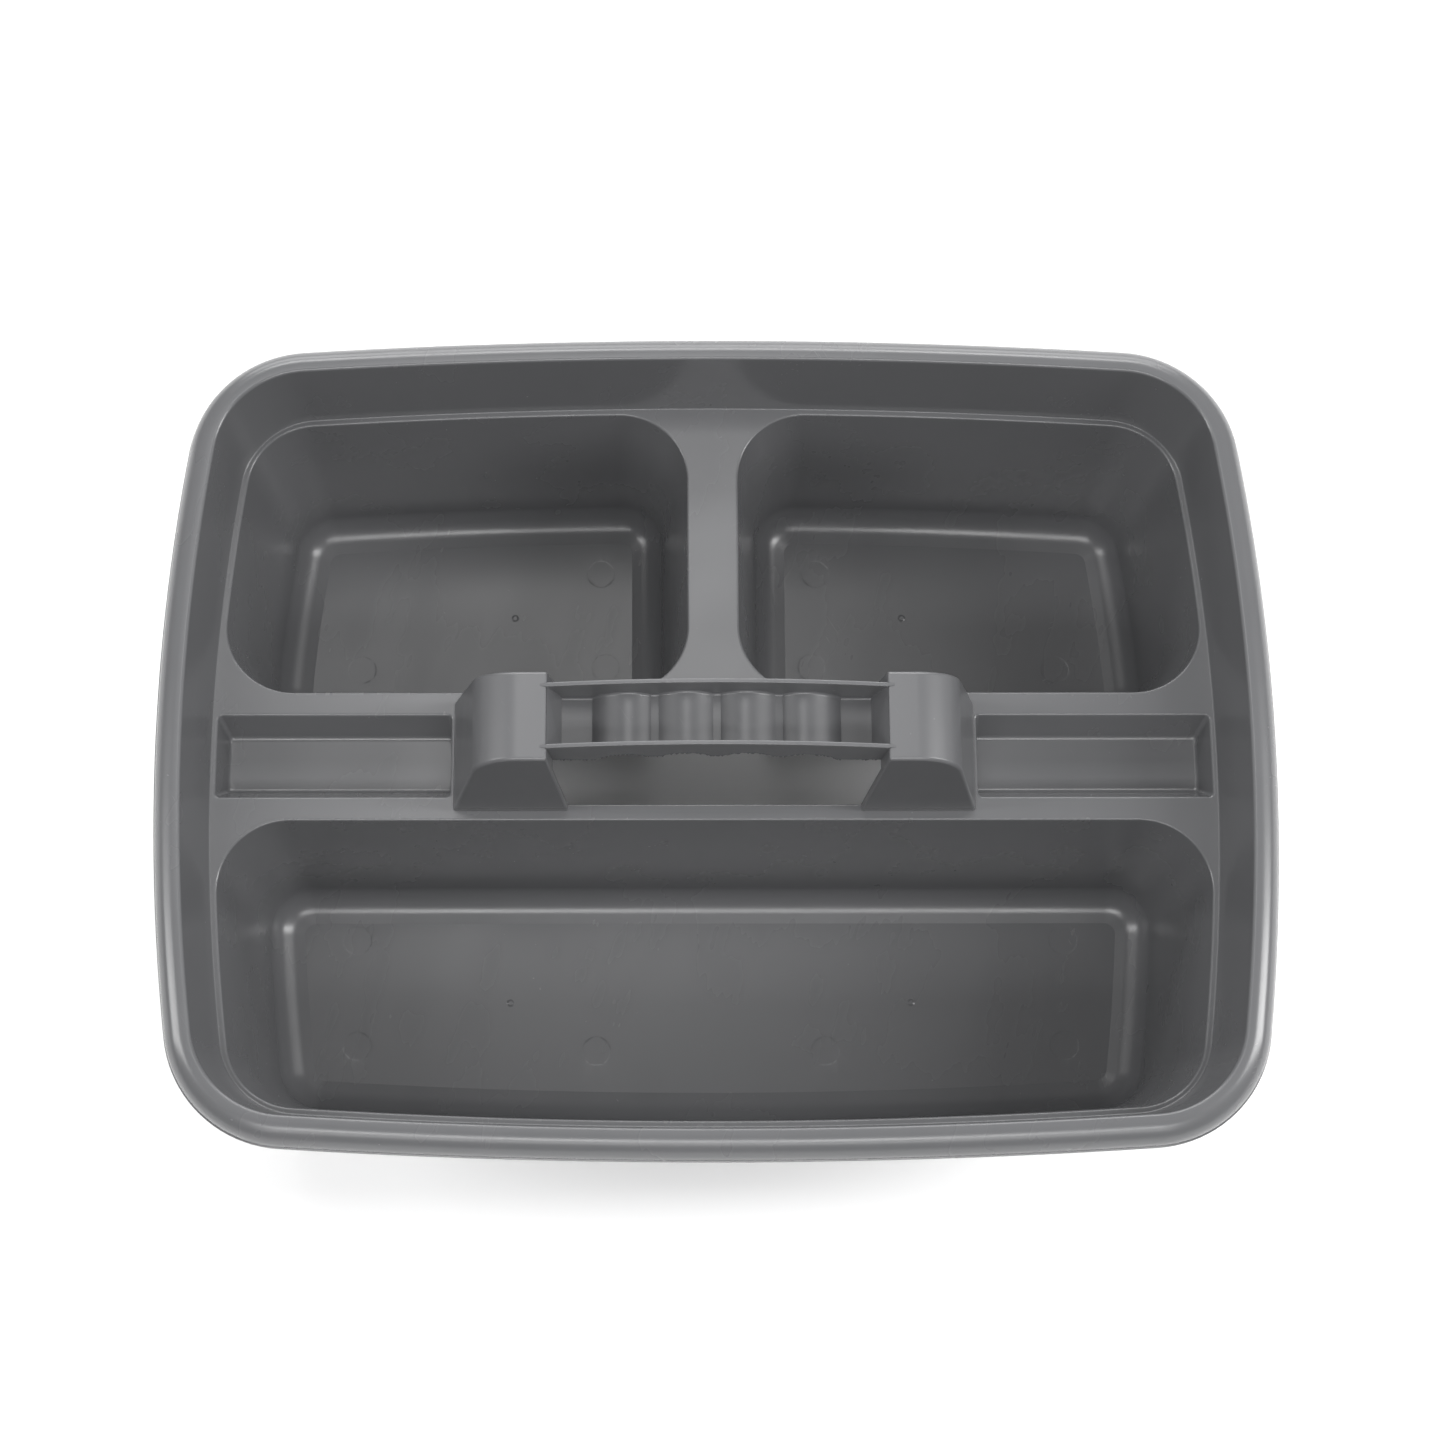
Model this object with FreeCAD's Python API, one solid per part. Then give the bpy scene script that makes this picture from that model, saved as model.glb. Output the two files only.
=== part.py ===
"""Cleaning caddy: a carry tray with a bucket rim, three deep compartments, two tool troughs and a
fixed carrying handle.

The real object is one polypropylene moulding.  It is built here from the regions that a toolmaker
would name, one closed solid each, which meet face to face.  Millimetres, +Z up, the front faces -Y,
and the origin is under the middle of the tray, on the surface it stands on.
"""
import FreeCAD, Part
import math
import os

from FreeCAD import Vector

# ---- Driving dimensions -------------------------------------------------------------------------

WALL = 2.4                  # wall of the tray, the compartments, the troughs and the posts

# Rim: a rounded bead with a downturned skirt
RIM_LENGTH = 404.0          # outside, left to right
RIM_DEPTH = 306.0           # outside, front to rear
RIM_HEIGHT = 127.0          # top of the bead above the surface it stands on
RIM_CORNER_RADIUS = 45.0    # outside corner
SIDE_BOW = 13.1             # how far each short side swells between the corners
END_BOW = 7.6               # how far the front and the rear swell between the corners
BEAD_WIDTH = 10.8           # from the inner edge of the rim to the outside
CREST_WIDTH = 2.0           # flat crest of the bead, beside the inner edge
SKIRT_HEIGHT = 10.5         # from the crest down to the lower edge of the skirt
SKIRT_WALL = 2.0

# Tray above the deck
STEP_HEIGHT = 37.5          # from the rim down to the deck
STEP_DRAFT = 4.6            # how far the tray wall leans in over that height
LEDGE_WIDTH = 2.4           # deck left between the tray wall and a compartment

# Deep compartments
SPINE_DEPTH = 49.0          # deck between the front compartment and the two rear ones
DIVIDER_WIDTH = 19.2        # deck between the two rear compartments
COMPARTMENT_RADIUS = 26.0   # vertical corners at the deck
COMPARTMENT_DRAFT = 7.0     # lean of the walls, degrees
COVE_RADIUS = 12.0          # rounding between walls and floor
BAND_WIDTH = 3.5            # flat band between the rounding and the floor
BAND_SLOPE = 15.0           # slope of that band, degrees

# Shallow troughs for brushes and squeegees
TROUGH_START_GAP = 1.0      # from the foot of a handle post to the trough
TROUGH_END_GAP = 2.1        # from the far end of a trough to the tray wall
TROUGH_LAND = 8.8           # deck left between a trough and a compartment
TROUGH_DEPTH = 13.2
TROUGH_SIDE_LEAN = 5.2      # how far each long side leans in over the depth
TROUGH_END_LEAN = 2.9       # how far the far end leans in over the depth

# Handle
HANDLE_RISE = 18.5          # top of the posts above the rim
POST_LAND = 3.5             # deck left between a post and a compartment
POST_FOOT_LENGTH = 42.5     # left to right, at the deck
POST_INNER_LEAN = 6.0       # how far the inner edge leans away from the hand up to the top
POST_FACE_LEAN = 4.8        # how far the front and the rear face lean in up to the top
POST_OUTER_DRAFT = 12.5     # lean of the outer wall, degrees
POST_SHOULDER_RADIUS = 17.6

# Grip: an open channel between the posts, with a finger hollow under each bump of its floor
GRIP_WIDTH = 24.0
GRIP_WALL = 1.6
GRIP_ARCH = 5.7             # rise of the top edges from the posts to the middle
GRIP_END_HEIGHT = 16.0      # height of the channel where it meets the posts
GRIP_FLOOR_WALL = 2.0
FINGER_COUNT = 4
FINGER_PITCH = 22.0
FINGER_LAND = 4.5           # flat between two bumps
FINGER_HOLLOW = 4.2         # depth of each finger hollow
FLOOR_ARCH = 4.0            # rise of the channel floor from the outer fingers to the middle
FLOOR_STEP = 1.6            # from the flat end of the floor up to the first finger
END_PANEL = 10.4            # flat end of the channel floor
CHANNEL_END_LEAN = 4.0      # how far each end wall of the channel leans in

# ---- Worked-out sizes ---------------------------------------------------------------------------

DECK = RIM_HEIGHT - STEP_HEIGHT
HANDLE_TOP = RIM_HEIGHT + HANDLE_RISE
RIM_INNER_HALF_LENGTH = RIM_LENGTH / 2 - BEAD_WIDTH
RIM_INNER_HALF_DEPTH = RIM_DEPTH / 2 - BEAD_WIDTH
RIM_INNER_RADIUS = RIM_CORNER_RADIUS - BEAD_WIDTH
FLOOR_END = FINGER_COUNT * FINGER_PITCH / 2 + FLOOR_STEP + END_PANEL
POST_TOP_INNER = FLOOR_END + CHANNEL_END_LEAN
POST_FOOT_INNER = POST_TOP_INNER - POST_INNER_LEAN
POST_FOOT_OUTER = POST_FOOT_INNER + POST_FOOT_LENGTH
POST_HALF_DEPTH = SPINE_DEPTH / 2 - POST_LAND
WELL_HALF_DEPTH = POST_HALF_DEPTH - WALL
TROUGH_START = POST_FOOT_OUTER + TROUGH_START_GAP
WELL_END = TROUGH_START - WALL
GRIP_BOTTOM = HANDLE_TOP - GRIP_END_HEIGHT

SMALLEST_RADIUS = 1.0       # a corner that is offset inwards never gets sharper than this
COVE_STEPS = 4
BEAD_STEPS = 5
CLEAR = 5.0                 # how far a cutting body runs past what it cuts


# ---- Outlines: closed loops of straight or bowed sides with rounded corners ---------------------

class Straight:
    """A straight side, given by a point on it and the direction into the outline."""

    def __init__(self, point, inward):
        self.point = point
        self.inward = inward

    def moved_in(self, distance):
        return Straight(self.point + self.inward * distance, self.inward)

    def nearest(self, point):
        return point - self.inward * (point - self.point).dot(self.inward)


class Bowed:
    """A side that swells outward: an arc about a centre on the far side of the outline."""

    def __init__(self, centre, radius):
        self.centre = centre
        self.radius = radius

    def moved_in(self, distance):
        return Bowed(self.centre, self.radius - distance)

    def nearest(self, point):
        return self.centre + (point - self.centre).normalize() * self.radius


def bowed_side(direction, reach, half_span, bow):
    """The side that lies `reach` from the middle and falls back by `bow` at its ends."""
    radius = (half_span ** 2 + bow ** 2) / (2 * bow)
    return Bowed(direction * (reach - radius), radius)


def crossing(first, second, start):
    """Where two sides that are nearly at right angles cross."""
    point = start
    for _ in range(60):
        point = second.nearest(first.nearest(point))
    return point


def outline(sides, corner_radius, inset, height):
    """Closed wire at a height, inset from the sides, which run in order round the loop."""
    radius = max(corner_radius - inset, SMALLEST_RADIUS)
    lines = [side.moved_in(inset) for side in sides]
    middle = Vector(0, 0, 0)
    for index, line in enumerate(lines):
        middle += crossing(line, lines[index - 1], Vector(0, 0, 0)) * (1 / len(lines))
    corners = []
    for index, line in enumerate(lines):
        following = lines[(index + 1) % len(lines)]
        centre = crossing(line.moved_in(radius), following.moved_in(radius), middle)
        begin, end = line.nearest(centre), following.nearest(centre)
        halfway = centre + ((begin + end) * 0.5 - centre).normalize() * radius
        corners.append((begin, halfway, end))
    edges = []
    for index, line in enumerate(lines):
        begin, end = corners[index - 1][2], corners[index][0]
        if isinstance(line, Straight):
            edges.append(Part.LineSegment(begin, end).toShape())
        else:
            edges.append(Part.Arc(begin, line.nearest((begin + end) * 0.5), end).toShape())
        edges.append(Part.Arc(*corners[index]).toShape())
    wire = Part.Wire(edges)
    wire.translate(Vector(0, 0, height))
    return wire


def solid_through(wires):
    """Closed solid with straight walls between one wire and the next."""
    solid = Part.makeLoft(wires, True, True)
    if solid.Volume < 0:
        solid.reverse()
    return solid


def stack(sides, corner_radius, levels):
    """Closed solid through the outlines at the given (inset, height) levels."""
    return solid_through([outline(sides, corner_radius, *level) for level in levels])


def tray_side(direction):
    """Inner edge of the rim on the side that faces `direction`."""
    if direction.x:
        return bowed_side(direction, RIM_INNER_HALF_LENGTH, RIM_INNER_HALF_DEPTH, SIDE_BOW)
    return bowed_side(direction, RIM_INNER_HALF_DEPTH, RIM_INNER_HALF_LENGTH, END_BOW)


RIGHT, REAR, LEFT, FRONT = Vector(1, 0, 0), Vector(0, 1, 0), Vector(-1, 0, 0), Vector(0, -1, 0)
TRAY_SIDES = [tray_side(direction) for direction in (RIGHT, REAR, LEFT, FRONT)]


# ---- Tray: rim, tray wall and deck --------------------------------------------------------------

def step_inset(height):
    """How far the inner face of the tray wall is inside the rim edge at a height."""
    return STEP_DRAFT * (RIM_HEIGHT - height) / STEP_HEIGHT


def quarter_round(crest_outset, foot_outset, foot, crest):
    """Levels up a quarter ellipse, from its foot outside the rim edge to its crest beside it."""
    levels = []
    for step in range(BEAD_STEPS + 1):
        angle = math.pi / 2 * step / BEAD_STEPS
        outset = crest_outset + (foot_outset - crest_outset) * math.cos(angle)
        levels.append((-outset, foot + (crest - foot) * math.sin(angle)))
    return levels


def make_rim():
    """Rounded bead and skirt, hollow underneath, standing on the top of the tray wall."""
    skirt_foot = RIM_HEIGHT - SKIRT_HEIGHT
    crest_underside = RIM_HEIGHT - WALL
    bead = quarter_round(CREST_WIDTH, BEAD_WIDTH, skirt_foot, RIM_HEIGHT)
    hollow = quarter_round(WALL, BEAD_WIDTH - SKIRT_WALL, skirt_foot, crest_underside)
    hollow.insert(0, (hollow[0][0], skirt_foot - CLEAR))
    mouth = [(step_inset(crest_underside - CLEAR), crest_underside - CLEAR),
             (step_inset(RIM_HEIGHT + CLEAR), RIM_HEIGHT + CLEAR)]
    rim = stack(TRAY_SIDES, RIM_INNER_RADIUS, bead)
    rim = rim.cut(stack(TRAY_SIDES, RIM_INNER_RADIUS, hollow))
    return rim.cut(stack(TRAY_SIDES, RIM_INNER_RADIUS, mouth))


def make_tray_wall():
    """Drafted wall between the deck and the bead."""
    top = RIM_HEIGHT - WALL
    inner = [(step_inset(DECK), DECK), (step_inset(top), top)]
    outer = [(inset - WALL, height) for inset, height in inner]
    wall = stack(TRAY_SIDES, RIM_INNER_RADIUS, outer)
    return wall.cut(stack(TRAY_SIDES, RIM_INNER_RADIUS, inner))


def make_deck(sunk_bodies):
    """Flat plate that carries everything, with an opening for each sunk body and for the hand."""
    inset = STEP_DRAFT - WALL
    deck = stack(TRAY_SIDES, RIM_INNER_RADIUS, [(inset, DECK - WALL), (inset, DECK)])
    well = Part.makeBox(2 * WELL_END, 2 * WELL_HALF_DEPTH, WALL + 2 * CLEAR,
                        Vector(-WELL_END, -WELL_HALF_DEPTH, DECK - WALL - CLEAR))
    for body in sunk_bodies + [well]:
        deck = deck.cut(body)
    return deck


# ---- Compartments -------------------------------------------------------------------------------

def compartment_section():
    """Levels of a compartment from deck to floor: (inset, height, slope of the wall in degrees)."""
    wall_slope = 90 - COMPARTMENT_DRAFT
    slopes = [wall_slope + (BAND_SLOPE - wall_slope) * step / COVE_STEPS
              for step in range(COVE_STEPS + 1)]
    band_rise = BAND_WIDTH * math.tan(math.radians(BAND_SLOPE))
    centre_height = WALL + band_rise + COVE_RADIUS * math.cos(math.radians(BAND_SLOPE))
    cove_start = centre_height - COVE_RADIUS * math.cos(math.radians(wall_slope))
    wall_inset = (DECK - cove_start) / math.tan(math.radians(wall_slope))
    centre_inset = wall_inset + COVE_RADIUS * math.sin(math.radians(wall_slope))
    levels = [(0.0, DECK, wall_slope)]
    for slope in slopes:
        turn = math.radians(slope)
        levels.append((centre_inset - COVE_RADIUS * math.sin(turn),
                       centre_height - COVE_RADIUS * math.cos(turn), slope))
    levels.append((levels[-1][0] + BAND_WIDTH, WALL, 0.0))
    return levels


def outer_levels(levels):
    """The same section moved outwards by one wall, ending on the surface the tray stands on."""
    first_slope = math.radians(levels[0][2])
    moved = [(-WALL / math.sin(first_slope), DECK)]
    for inset, height, slope in levels[1:-1]:
        turn = math.radians(slope)
        moved.append((inset - WALL * math.sin(turn), height - WALL * math.cos(turn)))
    mitre = WALL * math.tan(math.radians(BAND_SLOPE) / 2)
    moved.append((levels[-1][0] - mitre, 0.0))
    return moved


def front_compartment_sides():
    ledge = STEP_DRAFT + LEDGE_WIDTH
    right, left, front = (tray_side(way).moved_in(ledge) for way in (RIGHT, LEFT, FRONT))
    return [right, Straight(Vector(0, -SPINE_DEPTH / 2, 0), FRONT), left, front]


def rear_compartment_sides(outward):
    """Sides of the rear compartment on the `outward` side, in order round the loop."""
    ledge = STEP_DRAFT + LEDGE_WIDTH
    outer, rear = (tray_side(way).moved_in(ledge) for way in (outward, REAR))
    divider = Straight(outward * (DIVIDER_WIDTH / 2), outward)
    spine = Straight(Vector(0, SPINE_DEPTH / 2, 0), REAR)
    return [outer, rear, divider, spine]


def make_compartment(sides):
    """Returns the compartment and its filled outer body, which opens the deck for it."""
    levels = compartment_section()
    cavity = stack(sides, COMPARTMENT_RADIUS, [level[:2] for level in levels])
    body = stack(sides, COMPARTMENT_RADIUS, outer_levels(levels))
    return body.cut(cavity), body


# ---- Tool troughs -------------------------------------------------------------------------------

def trough_block(outward, grow, depth):
    """Tapered block of a trough, grown by `grow` on every side and `depth` deep."""
    end = RIM_INNER_HALF_LENGTH - STEP_DRAFT - TROUGH_END_GAP
    loops = []
    for share in (0.0, 1.0):
        half = SPINE_DEPTH / 2 - TROUGH_LAND - TROUGH_SIDE_LEAN * share + grow
        near = TROUGH_START - grow
        far = end - TROUGH_END_LEAN * share + grow
        height = DECK - depth * share
        corners = [Vector(near, -half, height), Vector(far, -half, height),
                   Vector(far, half, height), Vector(near, half, height)]
        corners = [Vector(corner.x * outward.x, corner.y, corner.z) for corner in corners]
        loops.append(Part.makePolygon(corners + corners[:1]))
    return solid_through(loops)


def make_trough(outward):
    """Returns the trough and its filled outer body, which opens the deck for it."""
    body = trough_block(outward, WALL, TROUGH_DEPTH + WALL)
    return body.cut(trough_block(outward, 0.0, TROUGH_DEPTH)), body


# ---- Handle -------------------------------------------------------------------------------------

def rounded_loop(points, radii):
    """Closed wire through the points, with the corner at each point rounded by its radius."""
    edges = []
    joints = []
    count = len(points)
    for index, corner in enumerate(points):
        radius = radii.get(index, 0.0)
        back = (points[index - 1] - corner).normalize()
        ahead = (points[(index + 1) % count] - corner).normalize()
        if radius == 0.0:
            joints.append((corner, corner))
            continue
        half_angle = back.getAngle(ahead) / 2
        reach = radius / math.tan(half_angle)
        centre = corner + (back + ahead).normalize() * (radius / math.sin(half_angle))
        halfway = centre + (corner - centre).normalize() * radius
        begin, end = corner + back * reach, corner + ahead * reach
        edges.append(Part.Arc(begin, halfway, end).toShape())
        joints.append((begin, end))
    for index in range(count):
        begin, end = joints[index][1], joints[(index + 1) % count][0]
        if begin.distanceToPoint(end) > 1e-6:
            edges.append(Part.LineSegment(begin, end).toShape())
    return Part.Wire(Part.__sortEdges__(edges))


def extruded_along_y(wire, half_width):
    face = Part.Face(wire)
    face.translate(Vector(0, -half_width, 0))
    return face.extrude(Vector(0, 2 * half_width, 0))


def post_inner_edge(height):
    """Distance from the middle to the inner edge of a post at a height."""
    rise = (height - DECK) / (HANDLE_TOP - DECK)
    return POST_FOOT_INNER + (POST_TOP_INNER - POST_FOOT_INNER) * rise


def between_post_faces(reach, bottom, top, wall):
    """Block from the middle out to x = reach, between the leaning faces of a post, less a wall."""
    def half_depth(height):
        return POST_HALF_DEPTH - wall - POST_FACE_LEAN * (height - DECK) / (HANDLE_TOP - DECK)

    low, high = half_depth(bottom), half_depth(top)
    loops = []
    for x in sorted((0.0, reach)):
        loops.append(Part.makePolygon([
            Vector(x, -low, bottom), Vector(x, low, bottom), Vector(x, high, top),
            Vector(x, -high, top), Vector(x, -low, bottom)]))
    return solid_through(loops)


def post_block(outward, wall):
    """A filled post, made smaller by `wall` on the faces that have one, and open at its foot."""
    lean = math.tan(math.radians(POST_OUTER_DRAFT))
    top = HANDLE_TOP - wall
    foot = DECK - (CLEAR if wall else 0.0)
    outer_foot = POST_FOOT_OUTER - wall / math.cos(math.radians(POST_OUTER_DRAFT))

    def outer_edge(height):
        return outer_foot - (height - DECK) * lean

    corners = [(post_inner_edge(foot) + wall, foot), (outer_edge(foot), foot),
               (outer_edge(top), top), (post_inner_edge(top) + wall, top)]
    points = [Vector(x * outward.x, 0, z) for x, z in corners]
    shoulder = extruded_along_y(rounded_loop(points, {2: POST_SHOULDER_RADIUS - wall}),
                                POST_HALF_DEPTH + CLEAR)
    return shoulder.common(between_post_faces(outward.x * (POST_FOOT_OUTER + CLEAR), foot, HANDLE_TOP, wall))


def make_post(outward):
    """Hollow post, open below and, under the grip, open towards the hand."""
    post = post_block(outward, 0.0).cut(post_block(outward, WALL))
    reach = outward.x * (post_inner_edge(GRIP_BOTTOM) + WALL)
    return post.cut(between_post_faces(reach, DECK - CLEAR, GRIP_BOTTOM, WALL))


def finger_floor(lift):
    """Edges along the finger bumps from left to right, at the underside raised by `lift`."""
    half_count = FINGER_COUNT / 2
    last_land = half_count * FINGER_PITCH

    def land_height(x):
        return GRIP_BOTTOM + FLOOR_STEP + FLOOR_ARCH * (1 - (x / last_land) ** 2) + lift

    corners = []
    arcs = []
    for finger in range(FINGER_COUNT):
        centre = (finger - half_count + 0.5) * FINGER_PITCH
        half_width = (FINGER_PITCH - FINGER_LAND) / 2
        left, right = centre - half_width, centre + half_width
        crest = (land_height(left) + land_height(right)) / 2 + FINGER_HOLLOW
        corners += [Vector(left, 0, land_height(left)), Vector(right, 0, land_height(right))]
        arcs.append(Vector(centre, 0, crest))
    return corners, arcs


def grip_loop(lift, end_bottom, end_top, top_points):
    """Closed wire: finger floor, flat ends, ends up to the top, and the top line or arc."""
    corners, arcs = finger_floor(lift)
    floor = GRIP_BOTTOM + lift
    step_x = corners[-1].x + FLOOR_STEP
    path = [Vector(-end_bottom, 0, floor), Vector(-step_x, 0, floor)] + corners
    path += [Vector(step_x, 0, floor), Vector(end_bottom, 0, floor)]
    edges = []
    for index in range(len(path) - 1):
        finger, place = divmod(index - 2, 2)
        if place == 0 and 0 <= finger < FINGER_COUNT:
            edges.append(Part.Arc(path[index], arcs[finger], path[index + 1]).toShape())
        else:
            edges.append(Part.LineSegment(path[index], path[index + 1]).toShape())
    right_top, left_top = Vector(end_top, 0, top_points[0]), Vector(-end_top, 0, top_points[0])
    edges.append(Part.LineSegment(path[-1], right_top).toShape())
    edges.append(Part.Arc(right_top, Vector(0, 0, top_points[1]), left_top).toShape())
    edges.append(Part.LineSegment(left_top, path[0]).toShape())
    return Part.Wire(edges)


def make_grip():
    """Channel between the posts, open at the top, trimmed by both posts."""
    outside = grip_loop(0.0, POST_TOP_INNER + WALL, POST_TOP_INNER,
                        (HANDLE_TOP, HANDLE_TOP + GRIP_ARCH))
    channel_top = HANDLE_TOP + CLEAR
    lean = CHANNEL_END_LEAN / (GRIP_END_HEIGHT - GRIP_FLOOR_WALL)
    mouth_end = POST_TOP_INNER + lean * CLEAR
    inside = grip_loop(GRIP_FLOOR_WALL, FLOOR_END, mouth_end, (channel_top, channel_top + GRIP_ARCH))
    grip = extruded_along_y(outside, GRIP_WIDTH / 2)
    grip = grip.cut(extruded_along_y(inside, GRIP_WIDTH / 2 - GRIP_WALL))
    for outward in (LEFT, RIGHT):
        grip = grip.cut(post_block(outward, 0.0))
    return grip


# ---- Build and export ---------------------------------------------------------------------------

def build():
    """All sub-parts by node name."""
    front, front_body = make_compartment(front_compartment_sides())
    parts = {"rim": make_rim(), "tray_wall": make_tray_wall(), "front_compartment": front}
    sunk = [front_body]
    for name, outward in (("left", LEFT), ("right", RIGHT)):
        parts["rear_%s_compartment" % name], body = make_compartment(rear_compartment_sides(outward))
        sunk.append(body)
        parts["%s_tool_trough" % name], body = make_trough(outward)
        sunk.append(body)
        parts["%s_handle_post" % name] = make_post(outward)
    parts["deck"] = make_deck(sunk)
    parts["handle_grip"] = make_grip()
    return parts


def export(parts):
    os.makedirs("parts", exist_ok=True)
    for name, shape in parts.items():
        shape = shape.removeSplitter()
        if not shape.isValid() or len(shape.Solids) != 1:
            raise RuntimeError("%s is not one valid solid" % name)
        box = shape.BoundBox
        print("%-24s %8.1f cm3  x %.1f..%.1f  y %.1f..%.1f  z %.1f..%.1f" % (
            name, shape.Volume / 1000, box.XMin, box.XMax, box.YMin, box.YMax, box.ZMin, box.ZMax))
        shape.Solids[0].exportStep("parts/%s.step" % name)


export(build())
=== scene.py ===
"""Looks of the cleaning caddy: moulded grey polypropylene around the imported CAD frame.

Every CAD node is replaced by a finer mesh of the same sub-part, with rounded edges, moulding marks
and a procedural finish.  All lengths are in metres, in the frame's own axes.
"""
from __future__ import annotations

import logging
import math
import random
from dataclasses import dataclass, field
from enum import Enum
from typing import Callable, Sequence

import bmesh
import bpy
import numpy as np
from mathutils import Matrix, Vector
from mathutils.geometry import delaunay_2d_cdt


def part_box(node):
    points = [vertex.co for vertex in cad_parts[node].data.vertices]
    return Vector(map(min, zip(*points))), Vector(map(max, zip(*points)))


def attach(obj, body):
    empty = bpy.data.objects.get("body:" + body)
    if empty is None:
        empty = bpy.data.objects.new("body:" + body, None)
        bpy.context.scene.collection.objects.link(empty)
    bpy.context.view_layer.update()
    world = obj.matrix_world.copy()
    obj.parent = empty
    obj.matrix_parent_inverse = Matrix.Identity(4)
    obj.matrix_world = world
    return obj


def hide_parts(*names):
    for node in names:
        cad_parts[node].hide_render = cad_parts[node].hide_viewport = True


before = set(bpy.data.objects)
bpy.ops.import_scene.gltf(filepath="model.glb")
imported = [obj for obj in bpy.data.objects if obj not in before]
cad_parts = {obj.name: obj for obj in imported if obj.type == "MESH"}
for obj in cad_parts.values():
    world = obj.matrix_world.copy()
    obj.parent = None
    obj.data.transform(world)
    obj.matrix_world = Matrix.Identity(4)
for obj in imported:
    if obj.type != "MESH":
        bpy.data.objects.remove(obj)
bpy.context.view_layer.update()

LOG = logging.getLogger("caddy")
MM = 0.001
BODY = "root"
WELD_DISTANCE = 0.002 * MM
CROSSING_ROUNDS = 60
NORMAL_WEIGHT = 60
Level = tuple[float, float]
Triple = tuple[float, float, float]
RIGHT, REAR, LEFT, FRONT = (1.0, 0.0), (0.0, 1.0), (-1.0, 0.0), (0.0, -1.0)


def sweep(start: float, stop: float, steps: int) -> list[float]:
    """Evenly spaced values from start to stop, both included."""
    return [start + (stop - start) * step / steps for step in range(steps + 1)]


# ---- Plan outlines ------------------------------------------------------------------------------

class Side:
    """One side of a plan outline."""

    def moved_in(self, distance: float) -> "Side":
        """The same side, moved into the outline."""
        raise NotImplementedError

    def nearest(self, point: np.ndarray) -> np.ndarray:
        """The point of the side nearest to a point."""
        raise NotImplementedError


@dataclass(frozen=True)
class Straight(Side):
    """A straight side through a point, with the unit direction into the outline."""

    point: tuple[float, float]
    inward: tuple[float, float]

    def moved_in(self, distance: float) -> "Straight":
        """The same side, moved into the outline."""
        moved = np.array(self.point) + np.array(self.inward) * distance
        return Straight(tuple(moved), self.inward)

    def nearest(self, point: np.ndarray) -> np.ndarray:
        """The point of the side nearest to a point."""
        inward = np.array(self.inward)
        return point - inward * float((point - np.array(self.point)) @ inward)


@dataclass(frozen=True)
class Bowed(Side):
    """A side that swells outward, as an arc about a far centre."""

    centre: tuple[float, float]
    radius: float

    def moved_in(self, distance: float) -> "Bowed":
        """The same side, moved into the outline."""
        return Bowed(self.centre, self.radius - distance)

    def nearest(self, point: np.ndarray) -> np.ndarray:
        """The point of the side nearest to a point."""
        centre = np.array(self.centre)
        away = point - centre
        return centre + away / np.linalg.norm(away) * self.radius


def crossing(first: Side, second: Side, start: np.ndarray) -> np.ndarray:
    """Where two sides that are nearly at right angles cross.

    Args:
        first: One side.
        second: The other side.
        start: A point inside the outline.

    Returns:
        The crossing, as x and y.
    """
    point = start
    for _ in range(CROSSING_ROUNDS):
        point = second.nearest(first.nearest(point))
    return point


@dataclass(frozen=True)
class Outline:
    """A closed plan outline: four sides in order round the loop, with rounded corners."""

    sides: tuple[Side, Side, Side, Side]
    corner_radius: float
    corner_steps: int = 20
    side_steps: int = 24

    def loop(self, inset: float | Sequence[float], radius: float | None = None) -> np.ndarray:
        """Points round the outline.

        Args:
            inset: How far each side is moved in, one value or one for each side.
            radius: Corner radius, or None for a corner that stays concentric.

        Returns:
            An array of x, y rows, the same number for every inset.
        """
        insets = [inset] * 4 if isinstance(inset, (int, float)) else list(inset)
        if radius is None:
            radius = max(self.corner_radius - insets[0], 0.5 * MM)
        lines = [side.moved_in(value) for side, value in zip(self.sides, insets)]
        middle = np.mean([crossing(a, b, np.zeros(2)) for a, b in zip(lines, lines[1:] + lines[:1])],
                         axis=0)
        corners = []
        for line, following in zip(lines, lines[1:] + lines[:1]):
            centre = crossing(line.moved_in(radius), following.moved_in(radius), middle)
            corners.append((line.nearest(centre), centre, following.nearest(centre)))
        points: list[np.ndarray] = []
        for index, line in enumerate(lines):
            begin, end = corners[index - 1][2], corners[index][0]
            for step in range(self.side_steps):
                points.append(line.nearest(begin + (end - begin) * step / self.side_steps))
            points.extend(arc_between(*corners[index], self.corner_steps))
        return np.array(points)


def arc_between(begin: np.ndarray, centre: np.ndarray, end: np.ndarray,
                steps: int) -> list[np.ndarray]:
    """Points on the short arc between two points.

    Args:
        begin: Where the arc starts.
        centre: Its centre.
        end: Where it ends.
        steps: How many points it gets.

    Returns:
        The points, without the end point.
    """
    start, stop = begin - centre, end - centre
    first = math.atan2(start[1], start[0])
    turn = (math.atan2(stop[1], stop[0]) - first + math.pi) % (2 * math.pi) - math.pi
    radius = float(np.linalg.norm(start))
    return [centre + radius * np.array((math.cos(angle), math.sin(angle)))
            for angle in sweep(first, first + turn, steps)[:-1]]


def bowed_side(direction: tuple[float, float], reach: float, half_span: float, bow: float) -> Bowed:
    """A side that swells outward in the middle.

    Args:
        direction: Unit direction out of the outline.
        reach: How far its middle is from the origin.
        half_span: Distance to either side over which the bow is measured.
        bow: How far it falls back over that distance.

    Returns:
        The side.
    """
    radius = (half_span ** 2 + bow ** 2) / (2 * bow)
    return Bowed((direction[0] * (reach - radius), direction[1] * (reach - radius)), radius)


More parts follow.
